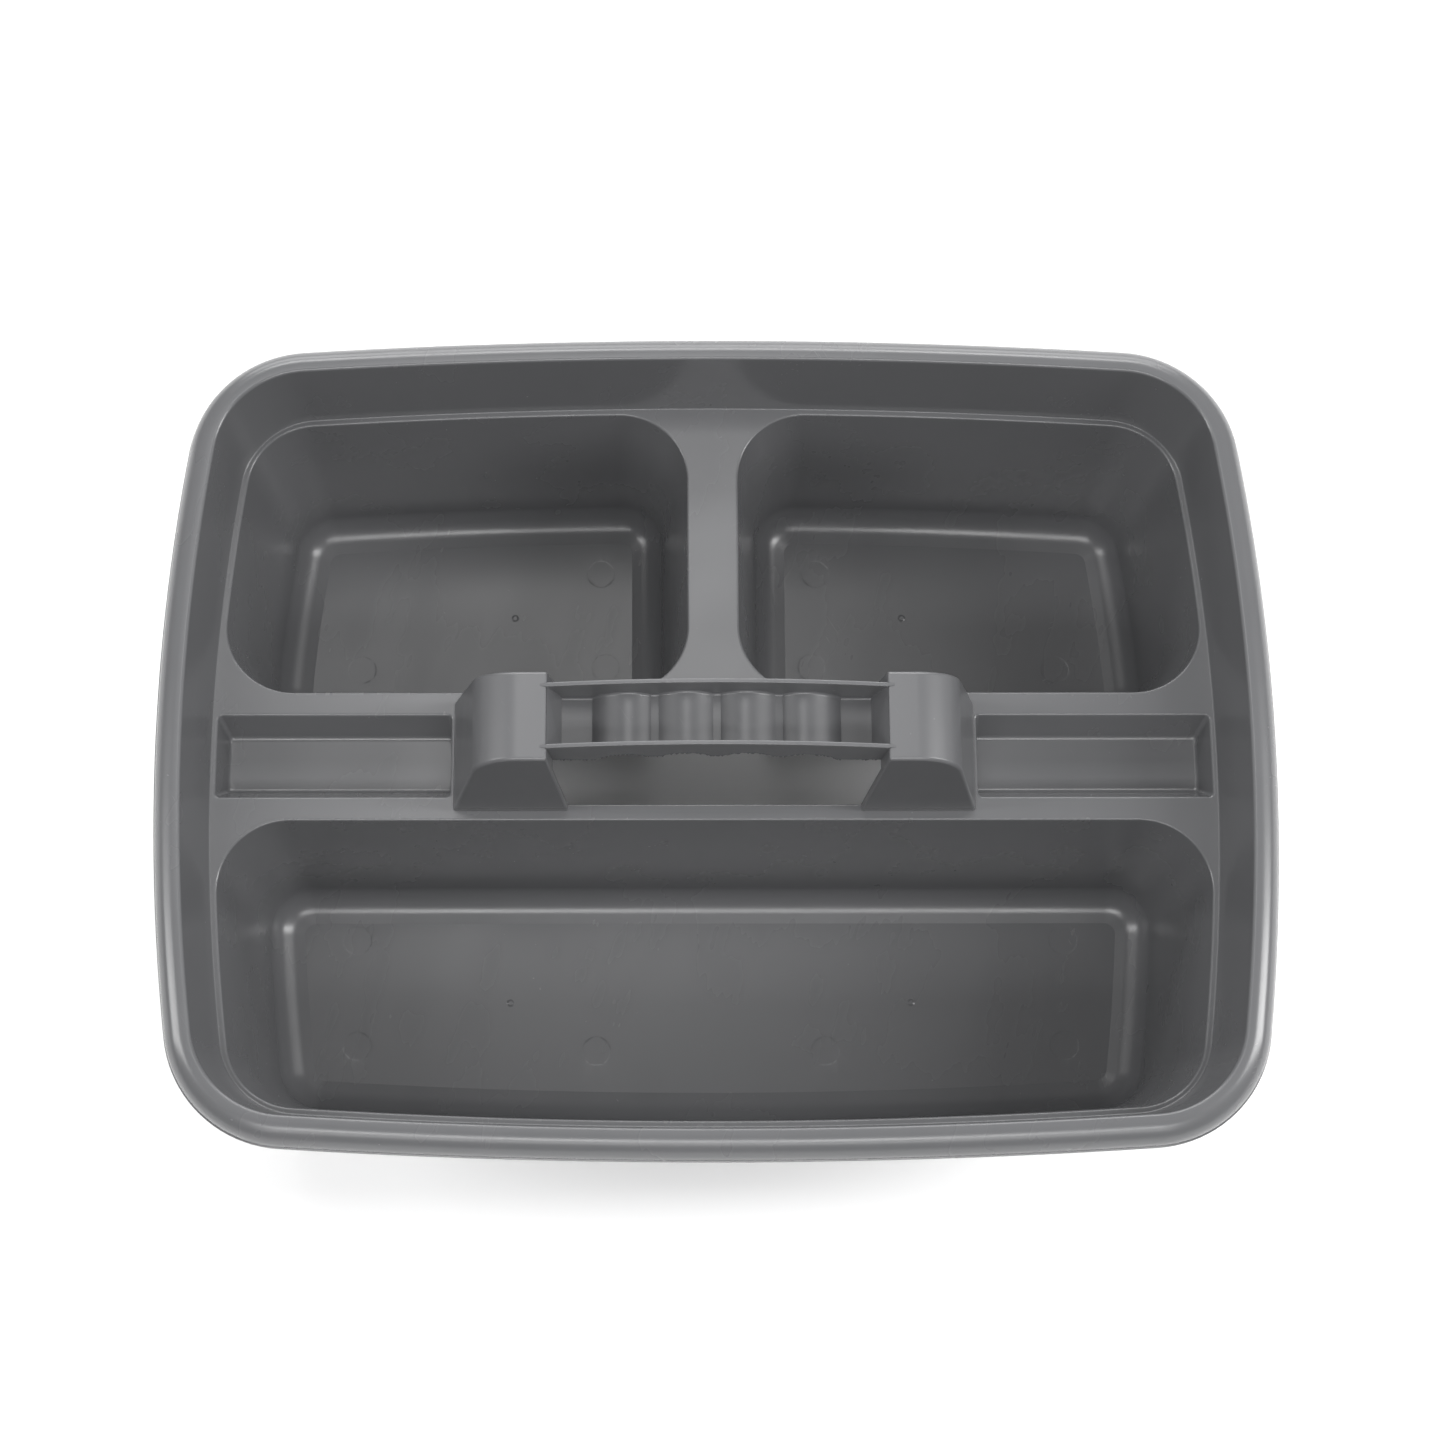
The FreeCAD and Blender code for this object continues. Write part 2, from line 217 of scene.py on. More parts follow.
# ---- Meshes -------------------------------------------------------------------------------------

class MeshMaker:
    """Collects rings and flat plates of points, then welds them into one closed mesh."""

    def __init__(self) -> None:
        """Start with nothing collected."""
        self.points: list[Triple] = []
        self.faces: list[tuple[int, ...]] = []

    def skin(self, rings: Sequence[np.ndarray], closed: bool = False) -> None:
        """Quads between each ring and the next.

        Args:
            rings: Arrays of x, y, z rows, all of the same length.
            closed: Whether the last ring joins the first one again.
        """
        start, count = len(self.points), len(rings[0])
        for ring in rings:
            self.points.extend(map(tuple, ring))
        pairs = len(rings) if closed else len(rings) - 1
        for level in range(pairs):
            low = start + level * count
            high = start + (level + 1) % len(rings) * count
            for index in range(count):
                after = (index + 1) % count
                self.faces.append((low + index, low + after, high + after, high + index))

    def plate(self, loops: Sequence[np.ndarray], height: Callable[[float, float], float],
              creases: Sequence[np.ndarray] = ()) -> None:
        """Flat triangles inside the first loop and outside the others.

        Args:
            loops: Outer edge and holes, as arrays of x, y rows.
            height: Height of the plate at x and y.
            creases: Further loops that the triangles follow.
        """
        flat: list[Vector] = []
        edges: list[tuple[int, int]] = []
        for loop in list(loops) + list(creases):
            start, count = len(flat), len(loop)
            flat.extend(Vector((float(x), float(y))) for x, y in loop)
            edges.extend((start + i, start + (i + 1) % count) for i in range(count))
        spots, _, triangles, *_ = delaunay_2d_cdt(flat, edges, [], 0, 1e-9, False)
        start = len(self.points)
        self.points.extend((spot.x, spot.y, height(spot.x, spot.y)) for spot in spots)
        for triangle in triangles:
            middle = sum((spots[i] for i in triangle), Vector((0, 0))) / 3
            if sum(encloses(loop, middle.x, middle.y) for loop in loops) == 1:
                self.faces.append(tuple(start + i for i in triangle))

    def box_between(self, low: Sequence[Sequence[float]], high: Sequence[Sequence[float]]) -> None:
        """Closed block between two loops of corners.

        Args:
            low: Corners of one end, as x, y, z.
            high: Corners of the other end, in the same order.
        """
        start, count = len(self.points), len(low)
        self.points.extend(tuple(corner) for corner in list(low) + list(high))
        self.faces.append(tuple(range(start + count - 1, start - 1, -1)))
        self.faces.append(tuple(range(start + count, start + 2 * count)))
        for index in range(count):
            after = (index + 1) % count
            self.faces.append((start + index, start + after, start + count + after,
                               start + count + index))

    def build(self, name: str) -> bpy.types.Object:
        """Weld what was collected into an object with outward faces.

        Args:
            name: Name of the object and of its mesh.

        Returns:
            The new object, linked to the scene.
        """
        mesh = bpy.data.meshes.new(name)
        mesh.from_pydata(self.points, [], self.faces)
        work = bmesh.new()
        work.from_mesh(mesh)
        bmesh.ops.remove_doubles(work, verts=work.verts, dist=WELD_DISTANCE)
        bmesh.ops.dissolve_degenerate(work, edges=work.edges, dist=WELD_DISTANCE / 2)
        bmesh.ops.recalc_face_normals(work, faces=work.faces)
        work.to_mesh(mesh)
        work.free()
        piece = bpy.data.objects.new(name, mesh)
        bpy.context.scene.collection.objects.link(piece)
        return piece


def encloses(loop: np.ndarray, x: float, y: float) -> bool:
    """Whether a plan loop goes round a point.

    Args:
        loop: Corners as x, y rows.
        x: First coordinate of the point.
        y: Second coordinate of the point.

    Returns:
        True for a point inside the loop.
    """
    ahead = np.roll(loop, -1, axis=0)
    spans = (loop[:, 1] > y) != (ahead[:, 1] > y)
    rise = np.where(spans, ahead[:, 1] - loop[:, 1], 1.0)
    cross = loop[:, 0] + (y - loop[:, 1]) / rise * (ahead[:, 0] - loop[:, 0])
    return bool(np.count_nonzero(spans & (cross > x)) % 2)


def at_height(loop: np.ndarray, height: float) -> np.ndarray:
    """A plan loop lifted to a height, as x, y, z rows."""
    return np.column_stack([loop, np.full(len(loop), height)])


def circle(centre: tuple[float, float], radius: float, steps: int = 40) -> np.ndarray:
    """A plan circle as x, y rows."""
    turn = np.linspace(0, 2 * math.pi, steps, endpoint=False)
    return np.column_stack([centre[0] + radius * np.cos(turn), centre[1] + radius * np.sin(turn)])


def carve(piece: bpy.types.Object, tool: bpy.types.Object, operation: str) -> None:
    """Join a tool to a piece or cut it away, then throw the tool away.

    Args:
        piece: The object that is changed.
        tool: The object that is joined or cut away.
        operation: UNION or DIFFERENCE.
    """
    step = piece.modifiers.new("carve", "BOOLEAN")
    step.operation, step.object, step.solver = operation, tool, "EXACT"
    bpy.context.view_layer.update()
    carved = bpy.data.meshes.new_from_object(piece.evaluated_get(
        bpy.context.evaluated_depsgraph_get()))
    piece.modifiers.clear()
    piece.data = carved
    bpy.data.objects.remove(tool)


def smooth(piece: bpy.types.Object, crease: float) -> None:
    """Shade a piece smoothly apart from its creases.

    Args:
        piece: The mesh to shade.
        crease: Angle in degrees from which an edge is sharp.
    """
    work = bmesh.new()
    work.from_mesh(piece.data)
    for face in work.faces:
        face.smooth = True
    for edge in work.edges:
        edge.smooth = edge.calc_face_angle(0.0) < math.radians(crease)
    work.to_mesh(piece.data)
    work.free()
    weighted = piece.modifiers.new("even_normals", "WEIGHTED_NORMAL")
    weighted.keep_sharp = True
    weighted.weight = NORMAL_WEIGHT


# ---- Finish -------------------------------------------------------------------------------------

Socket = bpy.types.NodeSocket


class NodeSheet:
    """Short way to lay out and link shader nodes in a tree."""

    def __init__(self, tree: bpy.types.NodeTree) -> None:
        """Write into a node tree."""
        self.tree = tree

    def add(self, kind: str, inputs: dict[str | int, object] | None = None,
            **settings: object) -> bpy.types.Node:
        """Add one node.

        Args:
            kind: Node type.
            inputs: Values or sockets for the node's inputs, by name or place.
            **settings: Properties of the node.

        Returns:
            The new node.
        """
        node = self.tree.nodes.new(kind)
        for key, value in settings.items():
            setattr(node, key, value)
        for key, value in (inputs or {}).items():
            if isinstance(value, Socket):
                self.tree.links.new(value, node.inputs[key])
            else:
                node.inputs[key].default_value = value
        return node

    def maths(self, operation: str, first: object, second: object = 0.0) -> Socket:
        """A math node on two values or sockets."""
        return self.add("ShaderNodeMath", {0: first, 1: second}, operation=operation).outputs[0]

    def remap(self, value: Socket, low: object, high: object, to_low: object = 0.0,
              to_high: object = 1.0) -> Socket:
        """A clamped linear change of range."""
        return self.add("ShaderNodeMapRange", {"Value": value, "From Min": low, "From Max": high,
                                               "To Min": to_low, "To Max": to_high}).outputs[0]

    def noise(self, where: Socket, scale: object, detail: float = 3.0,
              roughness: float = 0.5) -> Socket:
        """Noise value at some coordinates."""
        return self.add("ShaderNodeTexNoise", {"Vector": where, "Scale": scale, "Detail": detail,
                                               "Roughness": roughness}).outputs["Fac"]

    def mix(self, share: object, first: object, second: object) -> Socket:
        """Blend of two colours.

        Args:
            share: Value or socket, 0 for the first colour and 1 for the second.
            first: Colour or socket.
            second: Colour or socket.

        Returns:
            The blended colour.
        """
        node = self.add("ShaderNodeMix", data_type="RGBA")
        for place, value in ((0, share), (6, first), (7, second)):
            if isinstance(value, Socket):
                self.tree.links.new(value, node.inputs[place])
            else:
                node.inputs[place].default_value = value
        return node.outputs[2]

    def stretched(self, turn: Triple, grain: Triple) -> Socket:
        """Object coordinates turned, then counted in grains of the given length and width."""
        place = self.add("ShaderNodeTexCoord").outputs["Object"]
        return self.add("ShaderNodeMapping", {"Vector": place, "Rotation": turn, "Scale": grain},
                        vector_type="TEXTURE").outputs[0]


class SurfaceEffect(Enum):
    """Shared shader groups, by the name of the group."""

    GRAIN = "moulded_grain"
    FLOW = "flow_marks"
    SCUFFS = "fine_scuffs"


class EffectSheet(NodeSheet):
    """Nodes inside a shared group that has a scale and an amount as its inputs."""

    grains = (700.0, 420.0)
    cloud = 14.0
    streak_turn, streak_size = (0.1, 0.05, 1.3), (0.11, 0.017, 0.03)
    scratch_turns = ((0.0, 0.1, 0.5), (0.2, 0.0, 2.1))
    scratch_size, patch_size = (0.014, 0.0008, 0.0008), (0.05, 0.03, 0.03)
    specks = 520.0

    def __init__(self, tree: bpy.types.NodeTree) -> None:
        """Give a group its inputs.

        Args:
            tree: The new group.
        """
        super().__init__(tree)
        for label in ("Scale", "Amount"):
            socket = tree.interface.new_socket(label, in_out="INPUT",
                                               socket_type="NodeSocketFloat")
            socket.default_value = 1.0
        entry = self.add("NodeGroupInput")
        self.scale, self.amount = entry.outputs["Scale"], entry.outputs["Amount"]
        self.place = self.add("ShaderNodeTexCoord").outputs["Object"]

    def spots(self, count: float, detail: float, roughness: float = 0.5) -> Socket:
        """Round noise with so many spots to the metre."""
        return self.noise(self.place, self.maths("MULTIPLY", self.scale, count), detail, roughness)

    def blend(self, first: Socket, second: Socket, share: float) -> Socket:
        """Sum of two values, with the first one's share."""
        return self.maths("ADD", self.maths("MULTIPLY", first, share),
                          self.maths("MULTIPLY", second, 1.0 - share))

    def grain(self) -> dict[str, Socket]:
        """Fine spark-eroded grain of the mould.

        Returns:
            The group's outputs by name.
        """
        fine, soft = self.spots(self.grains[0], 1.0), self.spots(self.grains[1], 2.0)
        both = self.blend(fine, soft, 0.6)
        return {"Height": self.maths("MULTIPLY", both, self.amount),
                "Mask": self.remap(both, 0.4, 0.6)}

    def flow(self) -> dict[str, Socket]:
        """Cloudy shades and long streaks that molten plastic leaves.

        Returns:
            The group's outputs by name.
        """
        cloud = self.spots(self.cloud, 4.0, 0.55)
        streak = self.noise(self.stretched(self.streak_turn, self.streak_size), self.scale, 3.0, 0.6)
        mixed = self.blend(cloud, streak, 0.65)
        shade = self.remap(mixed, 0.3, 0.7, -1.0, 1.0)
        return {"Shade": self.maths("MULTIPLY", shade, self.amount),
                "Height": self.maths("MULTIPLY", mixed, self.amount)}

    def scuffs(self) -> dict[str, Socket]:
        """Short fine scratches in a few directions, in patches, and small specks.

        Returns:
            The group's outputs by name.
        """
        marks = self.remap(self.spots(self.specks, 1.0), 0.80, 0.84)
        for turn in self.scratch_turns:
            strand = self.noise(self.stretched(turn, self.scratch_size), self.scale, 1.0, 0.4)
            patch = self.noise(self.stretched(turn, self.patch_size), self.scale, 3.0, 0.6)
            lines = self.maths("MULTIPLY", self.remap(strand, 0.68, 0.78),
                               self.remap(patch, 0.60, 0.76))
            marks = self.maths("MAXIMUM", marks, lines)
        return {"Mask": self.maths("MULTIPLY", marks, self.amount)}


def effect_group(effect: SurfaceEffect) -> bpy.types.NodeTree:
    """The shader group of an effect, made the first time it is asked for.

    Args:
        effect: Which effect.

    Returns:
        The node group, with named inputs and outputs.
    """
    known = bpy.data.node_groups.get(effect.value)
    if known:
        return known
    tree = bpy.data.node_groups.new(effect.value, "ShaderNodeTree")
    sheet = EffectSheet(tree)
    outputs = {SurfaceEffect.GRAIN: sheet.grain, SurfaceEffect.FLOW: sheet.flow,
               SurfaceEffect.SCUFFS: sheet.scuffs}[effect]()
    for label in outputs:
        tree.interface.new_socket(label, in_out="OUTPUT", socket_type="NodeSocketFloat")
    sheet.add("NodeGroupOutput", dict(outputs))
    return tree


@dataclass(frozen=True)
class Polypropylene:
    """Grey injection-moulded polypropylene."""

    name: str
    colour: Triple = (0.100, 0.101, 0.105)
    roughness: float = 0.26
    roughness_spread: float = 0.05
    grain: float = 0.25
    cloudiness: float = 0.012
    scuffing: float = 0.12
    speckle: float = 0.12
    scratch_cover: float = 0.55
    scratch_roughness: float = 0.2
    scratch_colour: tuple[float, float, float, float] = (0.42, 0.42, 0.43, 1.0)
    bump_height: float = 0.04 * MM
    bump_strength: float = 0.6
    refraction: float = 1.49

    def effect(self, sheet: NodeSheet, effect: SurfaceEffect, amount: float) -> bpy.types.Node:
        """Place one shared effect.

        Args:
            sheet: The material's nodes.
            effect: Which effect.
            amount: Its strength.

        Returns:
            The group node.
        """
        node = sheet.add("ShaderNodeGroup", node_tree=effect_group(effect))
        node.inputs["Amount"].default_value = amount
        return node

    def tinted(self, change: float) -> tuple[float, ...]:
        """The colour with its brightness changed by a share."""
        return tuple(value * (1 + change) for value in self.colour) + (1.0,)

    def material(self) -> bpy.types.Material:
        """The finish as a node material.

        Returns:
            The material, made the first time it is asked for.
        """
        known = bpy.data.materials.get(self.name)
        if known:
            return known
        made = bpy.data.materials.new(self.name)
        made.use_nodes = True
        sheet = NodeSheet(made.node_tree)
        shader = made.node_tree.nodes["Principled BSDF"]
        grain = self.effect(sheet, SurfaceEffect.GRAIN, self.grain).outputs
        flow = self.effect(sheet, SurfaceEffect.FLOW, 1.0).outputs
        scuffs = self.effect(sheet, SurfaceEffect.SCUFFS, self.scuffing).outputs
        clouded = sheet.mix(sheet.remap(flow["Shade"], -1.0, 1.0),
                            self.tinted(-2 * self.cloudiness), self.tinted(2 * self.cloudiness))
        speckled = sheet.mix(sheet.maths("MULTIPLY", grain["Mask"], self.speckle), clouded,
                             self.tinted(0.0))
        scratched = sheet.mix(sheet.maths("MULTIPLY", scuffs["Mask"], self.scratch_cover), speckled,
                              self.scratch_colour)
        gloss = sheet.remap(flow["Shade"], -1.0, 1.0, self.roughness - self.roughness_spread,
                            self.roughness + self.roughness_spread)
        rough = sheet.maths("ADD", gloss, sheet.maths("MULTIPLY", scuffs["Mask"],
                                                      self.scratch_roughness))
        relief = sheet.maths("SUBTRACT", sheet.maths("ADD", grain["Height"], flow["Height"]),
                             scuffs["Mask"])
        bump = sheet.add("ShaderNodeBump", {"Height": relief, "Distance": self.bump_height,
                                            "Strength": self.bump_strength})
        for value, label in ((scratched, "Base Color"), (rough, "Roughness"),
                             (bump.outputs["Normal"], "Normal")):
            made.node_tree.links.new(value, shader.inputs[label])
        shader.inputs["IOR"].default_value = self.refraction
        return made


TRAY_FINISH = Polypropylene("polypropylene_tray")
HANDLE_FINISH = Polypropylene("polypropylene_handle", roughness=0.32, scuffing=0.5)
BASKET_FINISH = Polypropylene("polypropylene_compartment", roughness=0.27, scuffing=0.1)


def dress(piece: bpy.types.Object, finish: Polypropylene, *nodes: str,
          crease: float = 30.0) -> bpy.types.Object:
    """Give a piece its finish and its place in the model.

    Args:
        piece: The finished mesh.
        finish: Its material.
        *nodes: The CAD nodes that it stands for.
        crease: Angle in degrees from which an edge is sharp.

    Returns:
        The same piece.
    """
    smooth(piece, crease)
    piece.data.materials.clear()
    piece.data.materials.append(finish.material())
    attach(piece, BODY)
    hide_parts(*nodes)
    return piece


# ---- Tray ---------------------------------------------------------------------------------------

@dataclass(frozen=True)
class TraySizes:
    """Sizes that several sub-parts share."""

    wall: float = 2.4 * MM
    bead_width: float = 10.8 * MM
    corner_radius: float = 34.2 * MM
    side_bow: float = 13.1 * MM
    end_bow: float = 7.6 * MM
    step_draft: float = 4.6 * MM
    ledge_width: float = 2.4 * MM
    foot_fillet: float = 0.5 * MM
    wall_top_gap: float = 4.5 * MM
    spine_depth: float = 49.0 * MM
    divider_width: float = 19.2 * MM
    half_length: float = field(default_factory=lambda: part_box("rim")[1][0])
    half_depth: float = field(default_factory=lambda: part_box("rim")[1][1])
    rim_top: float = field(default_factory=lambda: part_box("rim")[1][2])
    skirt_foot: float = field(default_factory=lambda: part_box("rim")[0][2])
    deck: float = field(default_factory=lambda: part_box("deck")[1][2])

    def side(self, direction: tuple[float, float]) -> Bowed:
        """Inner edge of the rim on one side.

        Args:
            direction: Unit direction out of the tray.

        Returns:
            The bowed side.
        """
        length, depth = self.half_length - self.bead_width, self.half_depth - self.bead_width
        if direction[0]:
            return bowed_side(direction, length, depth, self.side_bow)
        return bowed_side(direction, depth, length, self.end_bow)

    def outline(self) -> Outline:
        """Inner edge of the rim all round."""
        return Outline((self.side(RIGHT), self.side(REAR), self.side(LEFT), self.side(FRONT)),
                       self.corner_radius)

    def step_inset(self, height: float) -> float:
        """How far the inner face of the tray wall is inside the rim edge at a height."""
        return self.step_draft * (self.rim_top - height) / (self.rim_top - self.deck)


def round_corner(start: Level, corner: Level, end: Level, steps: int = 8) -> list[Level]:
    """Section points that round a corner between two tangent points.

    Args:
        start: Where the rounding starts.
        corner: The sharp corner it replaces.
        end: Where the rounding ends.
        steps: How many short straights it has.

    Returns:
        The points from start to end.
    """
    points = []
    for angle in sweep(0.0, math.pi / 2, steps):
        back, ahead = 1 - math.sin(angle), 1 - math.cos(angle)
        points.append((corner[0] + (start[0] - corner[0]) * back + (end[0] - corner[0]) * ahead,
                       corner[1] + (start[1] - corner[1]) * back + (end[1] - corner[1]) * ahead))
    return points


@dataclass
class ClosedRing:
    """A sub-part that follows the rim edge all round with one closed section."""

    sizes: TraySizes

    def section(self) -> list[Level]:
        """Closed section as (inset, height) points."""
        raise NotImplementedError

    def swept(self, name: str, node: str) -> bpy.types.Object:
        """Carry the section round the outline and dress the result.

        Args:
            name: Name of the piece.
            node: The CAD node that it stands for.

        Returns:
            The finished piece.
        """
        maker, outline = MeshMaker(), self.sizes.outline()
        maker.skin([at_height(outline.loop(inset), height) for inset, height in self.section()],
                   closed=True)
        return dress(maker.build(name), TRAY_FINISH, node)


@dataclass
class Rim(ClosedRing):
    """Rounded bead with a downturned skirt and a small lip at its foot."""

    crest_width: float = 2.4 * MM
    edge_radius: float = 1.1 * MM
    skirt_wall: float = 2.0 * MM
    lip_height: float = 1.3 * MM
    lip_depth: float = 0.55 * MM
    lip_drop: float = 0.1 * MM
    lip_radius: float = 0.3 * MM
    bead_steps: int = 14

    def section(self) -> list[Level]:
        """Closed section, from the tray wall over the bead and back.

        Returns:
            Points as (inset, height).
        """
        size, top, foot = self.sizes, self.sizes.rim_top, self.sizes.skirt_foot
        joint = top - size.wall_top_gap
        inner_joint = (size.step_inset(joint), joint)
        edge = size.step_inset(top - self.edge_radius)
        points = [inner_joint]
        points += round_corner((edge, top - self.edge_radius), (0.0, top),
                               (-self.edge_radius, top))
        lip_top = foot + self.lip_height
        reach = size.bead_width - self.lip_depth
        for angle in sweep(0.0, math.pi / 2, self.bead_steps):
            points.append((-self.crest_width - (reach - self.crest_width) * math.sin(angle),
                           lip_top + (top - lip_top) * math.cos(angle)))
        lip, radius, outside = lip_top - self.lip_drop, self.lip_radius, -size.bead_width
        points += round_corner((-reach - self.lip_depth * 0.6, lip), (outside, lip),
                               (outside, lip - radius), 3)
        points += round_corner((outside, foot + radius), (outside, foot),
                               (outside + radius, foot), 3)
        inside = size.bead_width - self.skirt_wall
        points.append((-inside - 0.2 * MM, foot))
        underside = top - size.wall
        for angle in sweep(math.pi / 2, 0.0, self.bead_steps):
            points.append((-size.wall - (inside - size.wall) * math.sin(angle),
                           foot + (underside - foot) * math.cos(angle)))
        points.append((inner_joint[0] - size.wall, joint))
        return points

    def build(self) -> bpy.types.Object:
        """Build and dress the rim."""
        return self.swept("rim_bead", "rim")


@dataclass
class TrayWall(ClosedRing):
    """Drafted wall between the deck and the bead, with a small fillet at its foot."""

    def section(self) -> list[Level]:
        """Closed section, up the inner face and down the outer one.

        Returns:
            Points as (inset, height).
        """
        size = self.sizes
        joint, deck, fillet = size.rim_top - size.wall_top_gap, size.deck, size.foot_fillet
        foot = size.step_draft
        points = round_corner((foot + fillet, deck), (foot, deck),
                              (size.step_inset(deck + fillet), deck + fillet))
        points += [(size.step_inset(joint), joint), (size.step_inset(joint) - size.wall, joint)]
        bottom = deck - size.wall
        points += round_corner((foot - size.wall, bottom + fillet), (foot - size.wall, bottom),
                               (foot - size.wall + fillet, bottom))
        points.append((foot + fillet, bottom))
        return points

    def build(self) -> bpy.types.Object:
        """Build and dress the tray wall."""
        return self.swept("tray_side_wall", "tray_wall")


# ---- Compartments -------------------------------------------------------------------------------

@dataclass(frozen=True)
class Mark:
    """A round mark that the mould leaves on a floor."""

    centre: tuple[float, float]
    radius: float
    depth: float
    slope_width: float

    def height_at(self, x: float, y: float) -> float:
        """How far the floor is raised by this mark at a place."""
        inside = math.hypot(x - self.centre[0], y - self.centre[1]) < self.radius - self.slope_width / 2
        return -self.depth if inside else 0.0

    def creases(self) -> list[np.ndarray]:
        """The two circles of its edge."""
        return [circle(self.centre, self.radius), circle(self.centre, self.radius - self.slope_width)]


def ejector(x: float, y: float) -> Mark:
    """Mark of an ejector pin, sunk a little into the floor."""
    return Mark((x * MM, y * MM), 6.0 * MM, 0.1 * MM, 0.5 * MM)


def gate(x: float, y: float) -> Mark:
    """Small raised stub where the plastic was let in."""
    return Mark((x * MM, y * MM), 1.5 * MM, -0.2 * MM, 0.7 * MM)


@dataclass
class Compartment:
    """Deep open box with drafted walls, rounded into a band and a flat floor."""

    name: str
    node: str
    sizes: TraySizes
    sides: tuple[Side, Side, Side, Side]
    marks: tuple[Mark, ...]
    corner_radius: float = 26.0 * MM
    draft: float = 7.0
    cove_radius: float = 12.0 * MM
    cove_steps: int = 14
    band_width: float = 3.5 * MM
    band_slope: float = 15.0
    edge_radius: float = 0.7 * MM
    border: float = 1.0 * MM

    def outline(self) -> Outline:
        """The opening of the compartment in the deck."""
        return Outline(self.sides, self.corner_radius)

    def levels(self) -> list[Triple]:
        """Inner section from deck to floor.

        Returns:
            Rows of inset, height and slope of the wall in degrees.
        """
        size, slope = self.sizes, math.radians(90 - self.draft)
        band = math.radians(self.band_slope)
        centre = size.wall + self.band_width * math.tan(band) + self.cove_radius * math.cos(band)
        start = centre - self.cove_radius * math.cos(slope)
        inset = (size.deck - start) / math.tan(slope) + self.cove_radius * math.sin(slope)
        levels = [(0.0, size.deck, math.degrees(slope))]
        for turn in sweep(slope, band, self.cove_steps):
            levels.append((inset - self.cove_radius * math.sin(turn),
                           centre - self.cove_radius * math.cos(turn), math.degrees(turn)))
        levels.append((levels[-1][0] + self.band_width, size.wall, 0.0))
        return levels

    def outside(self) -> list[Level]:
        """Outer section from under the deck down to the surface the tray stands on.

        Returns:
            Points as (inset, height).
        """
        levels, wall = self.levels(), self.sizes.wall
        points: list[Level] = []
        for inset, height, slope in levels[1:-1]:
            turn = math.radians(slope)
            points.append((inset - wall * math.sin(turn), height - wall * math.cos(turn)))
        slope = math.radians(levels[0][2])
        top = self.sizes.deck - wall
        points.insert(0, ((self.sizes.deck - top) / math.tan(slope) - wall / math.sin(slope), top))
        mitre = wall * math.tan(math.radians(self.band_slope) / 2)
        points.append((levels[-1][0] - mitre, 0.0))
        return points

    def build(self) -> bpy.types.Object:
        """Build and dress the compartment.

        Returns:
            The finished piece.
        """
        outline, deck, maker = self.outline(), self.sizes.deck, MeshMaker()
        inside = self.levels()
        lean = math.tan(math.radians(self.draft))
        under = deck - self.sizes.wall
        section: list[Level] = [(-self.border, under), (-self.border, deck)]
        section += round_corner((-self.edge_radius, deck), (0.0, deck),
                                (self.edge_radius * lean, deck - self.edge_radius))
        section += [level[:2] for level in inside[1:]]
        maker.skin([at_height(outline.loop(inset), height) for inset, height in section])
        outer = self.outside()
        maker.skin([at_height(outline.loop(inset), height)
                    for inset, height in [(-self.border, under)] + outer])
        floor = inside[-1]

        def floor_height(x: float, y: float) -> float:
            """Height of the floor with its marks."""
            return floor[1] + sum(mark.height_at(x, y) for mark in self.marks)

        creases = [loop for mark in self.marks for loop in mark.creases()]
        maker.plate([outline.loop(floor[0])], floor_height, creases)
        maker.plate([outline.loop(outer[-1][0])], lambda x, y: 0.0)
        return dress(maker.build(self.name), BASKET_FINISH, self.node, crease=13.0)


# ---- Tool troughs -------------------------------------------------------------------------------

